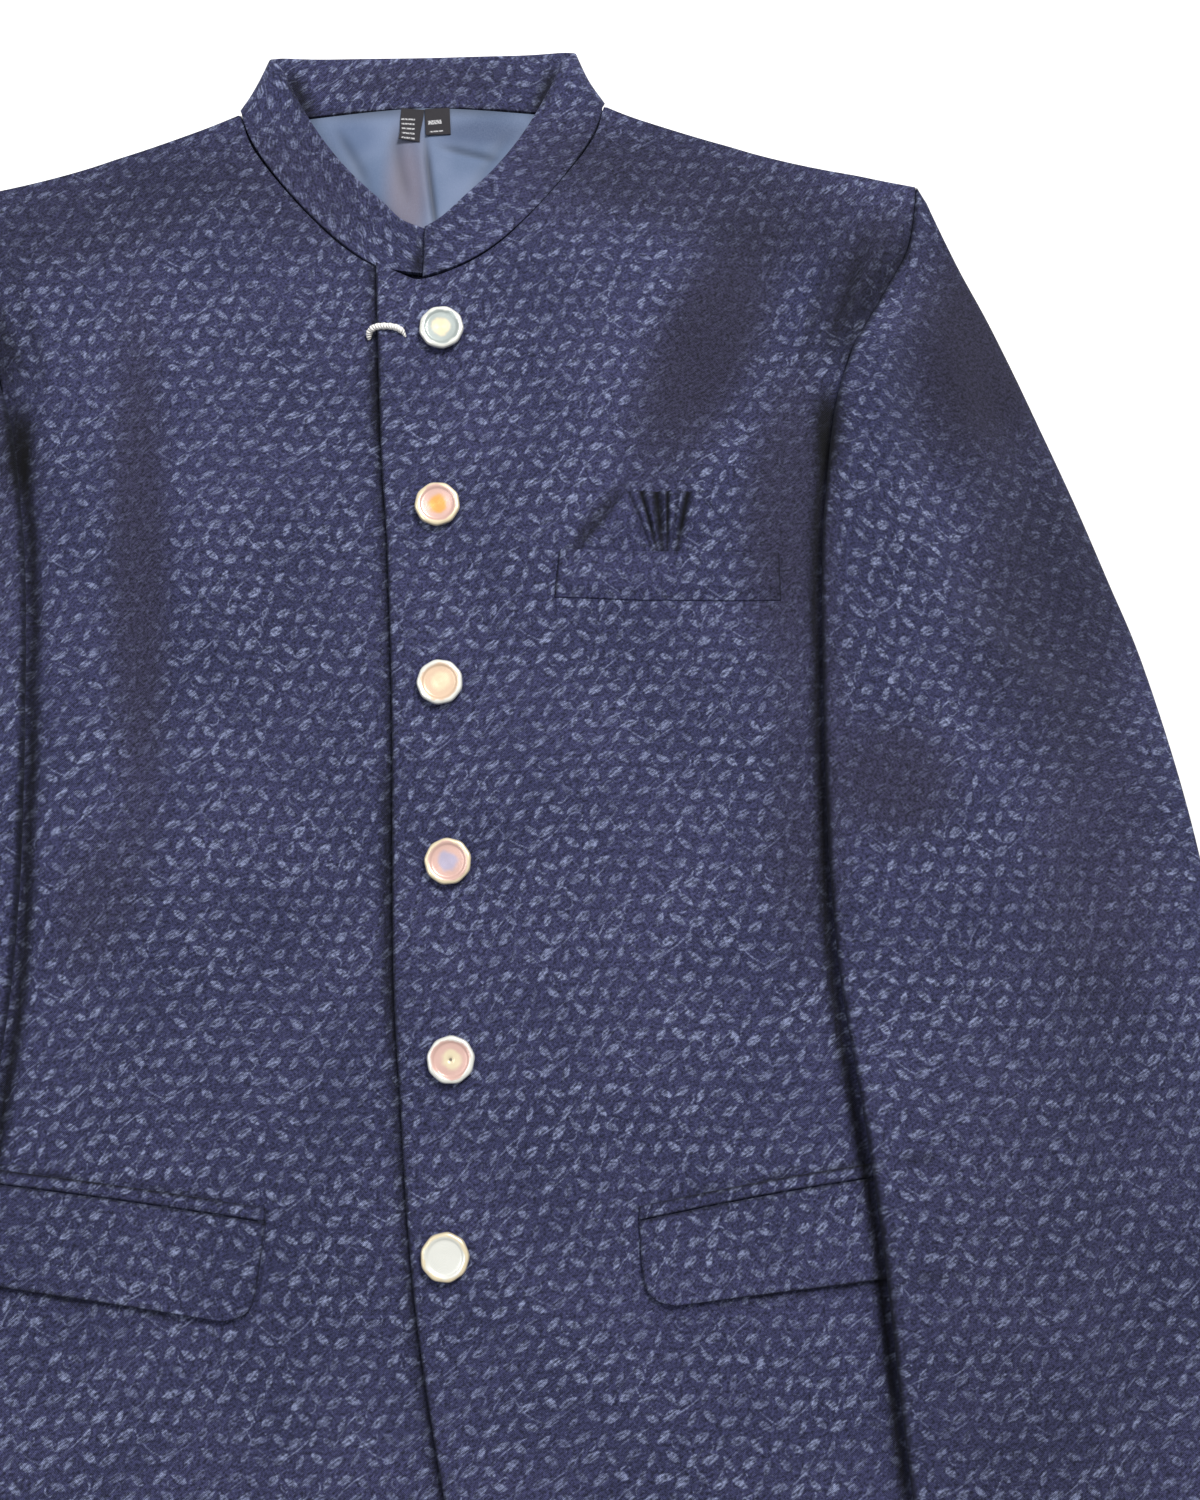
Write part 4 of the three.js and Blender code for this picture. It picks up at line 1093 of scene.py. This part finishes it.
def make_buttons():
    profile = dense(BUTTON_PROFILE, 3)
    profile[:, 0] = np.maximum(profile[:, 0], 0.02)
    angle = round_angles(BUTTON_SIDES)
    foot = round_angles(18)
    for place, (x, y, middle, ring, rim, dimple) in enumerate(BUTTONS, 1):
        under = front_top(x + BUTTON_SEAT * np.cos(foot), y + BUTTON_SEAT * np.sin(foot))
        seat = float(under.max()) + SEAM
        r = profile[:, :1] + 0 * angle[None]
        face = (profile[:, :1] < 1.8) & (profile[:, 1:] > 3)
        z0 = np.where(face & (dimple < 0.5), 3.44, profile[:, 1:])
        facet = 0.16 * np.cos(9 * angle + place)[None] * step((r - 8.2) / 1.5)
        r = r + facet * (profile[:, 1:] > 2.2)
        z = z0 + 0.07 * np.sin(3 * angle + 2 * place)[None] * step((r - 3) / 4) * (profile[:, 1:] > 3)
        points = np.dstack([x + r * np.cos(angle), y + r * np.sin(angle), seat + z])
        uv = np.dstack([r, 3.0 * angle[None] + 0 * r])
        obj = make_round(f"button_{place}_metal", points, uv,
                         button_material(place, middle, ring, rim, dimple))
        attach(obj, "root")
        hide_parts(f"button_{place}")


def make_thread():
    """The white bar of thread by the top button, arched over the front edge."""
    path = np.array([
        (-25.4, 246.4, 8.2), (-24.8, 249.2, 10.4), (-22.4, 250.4, 12.8), (-18, 250.6, 13.9),
        (-13, 250.0, 14.0), (-9.6, 248.4, 13.4), (-7.9, 245.8, 11.8),
    ])
    s = np.linspace(0, 1, 60)
    line = along(dense(path, 12), s)
    forward = np.gradient(line, axis=0)
    forward /= np.linalg.norm(forward, axis=1)[:, None]
    aside = np.cross(forward, (0, 0, 1.0))
    aside /= np.linalg.norm(aside, axis=1)[:, None]
    up = np.cross(aside, forward)
    angle = round_angles(14)
    radius = THREAD_RADIUS * np.minimum(1, np.minimum(0.35 + s * 8, 0.25 + (1 - s) * 4.5))
    radius *= 1 + 0.07 * np.sin(np.arange(60) * 0.9)
    cos, sin = np.cos(angle)[None, :, None], np.sin(angle)[None, :, None]
    points = line[:, None] + radius[:, None, None] * (cos * aside[:, None] + sin * up[:, None])
    uv = np.dstack([s[:, None] * 24 + 0 * angle, 1.1 * angle[None] + 0 * s[:, None]])
    obj = make_round("thread_bar", points, uv, THREAD_LOOK)
    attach(obj, "root")


make_back()
make_lining()
make_labels()
make_fronts()
make_collar()
make_sleeve(1, "left")
make_sleeve(-1, "right")
make_chest_pocket()
make_flaps()
make_buttons()
make_thread()


# Stage, light and camera
def make_stage():
    floor_look = Tree("floor")
    grain = floor_look.noise(floor_look.add("TexCoord", out=3), 6.0, 2.0)
    color = floor_look.mix(grain, srgb(246, 246, 245), srgb(250, 250, 249))
    look = floor_look.shade(color, 0.9, Specular_IOR_Level=0.1)
    half, depth = 4000.0, -0.4
    corners = [(-half, -half), (half, -half), (half, half), (-half, half)]
    make_mesh("floor", [(*c, depth) for c in corners], [(0, 1, 2, 3)], corners, look)


def make_light(name, place, aim, size, power, color):
    light = bpy.data.lights.new(name, "AREA")
    light.shape = "DISK"
    light.size = size
    light.energy = power
    light.color = color
    obj = bpy.data.objects.new(name, light)
    bpy.context.scene.collection.objects.link(obj)
    obj.location = place
    away = np.array(place) - np.array(aim)
    pitch = math.atan2(math.hypot(away[0], away[1]), away[2])
    obj.rotation_euler = (pitch, 0, math.atan2(away[0], -away[1]))


def make_world():
    world = bpy.data.worlds.new("studio")
    world.use_nodes = True
    color, strength = world.node_tree.nodes["Background"].inputs[:2]
    color.default_value = (1, 1, 1, 1)
    strength.default_value = 0.42
    bpy.context.scene.world = world


def make_camera():
    data = bpy.data.cameras.new("camera")
    data.lens, data.sensor_width = 40.0, 36.0
    data.clip_start, data.clip_end = 0.01, 50.0
    camera = bpy.data.objects.new("camera", data)
    bpy.context.scene.collection.objects.link(camera)
    camera.location = (0.0750, -0.0848, 0.7393)
    camera.rotation_euler = (math.radians(10.4), 0, math.radians(-1.3))
    bpy.context.scene.camera = camera


make_stage()
make_world()
make_light("key", (0.75, 1.15, 1.75), (0.05, 0.0, 0), 0.7, 55.0, (1.0, 0.985, 0.96))
make_light("fill", (-1.2, 0.1, 1.6), (0, 0, 0), 1.4, 12.0, (0.95, 0.97, 1.0))
make_camera()
bpy.context.scene.view_settings.view_transform = "Standard"
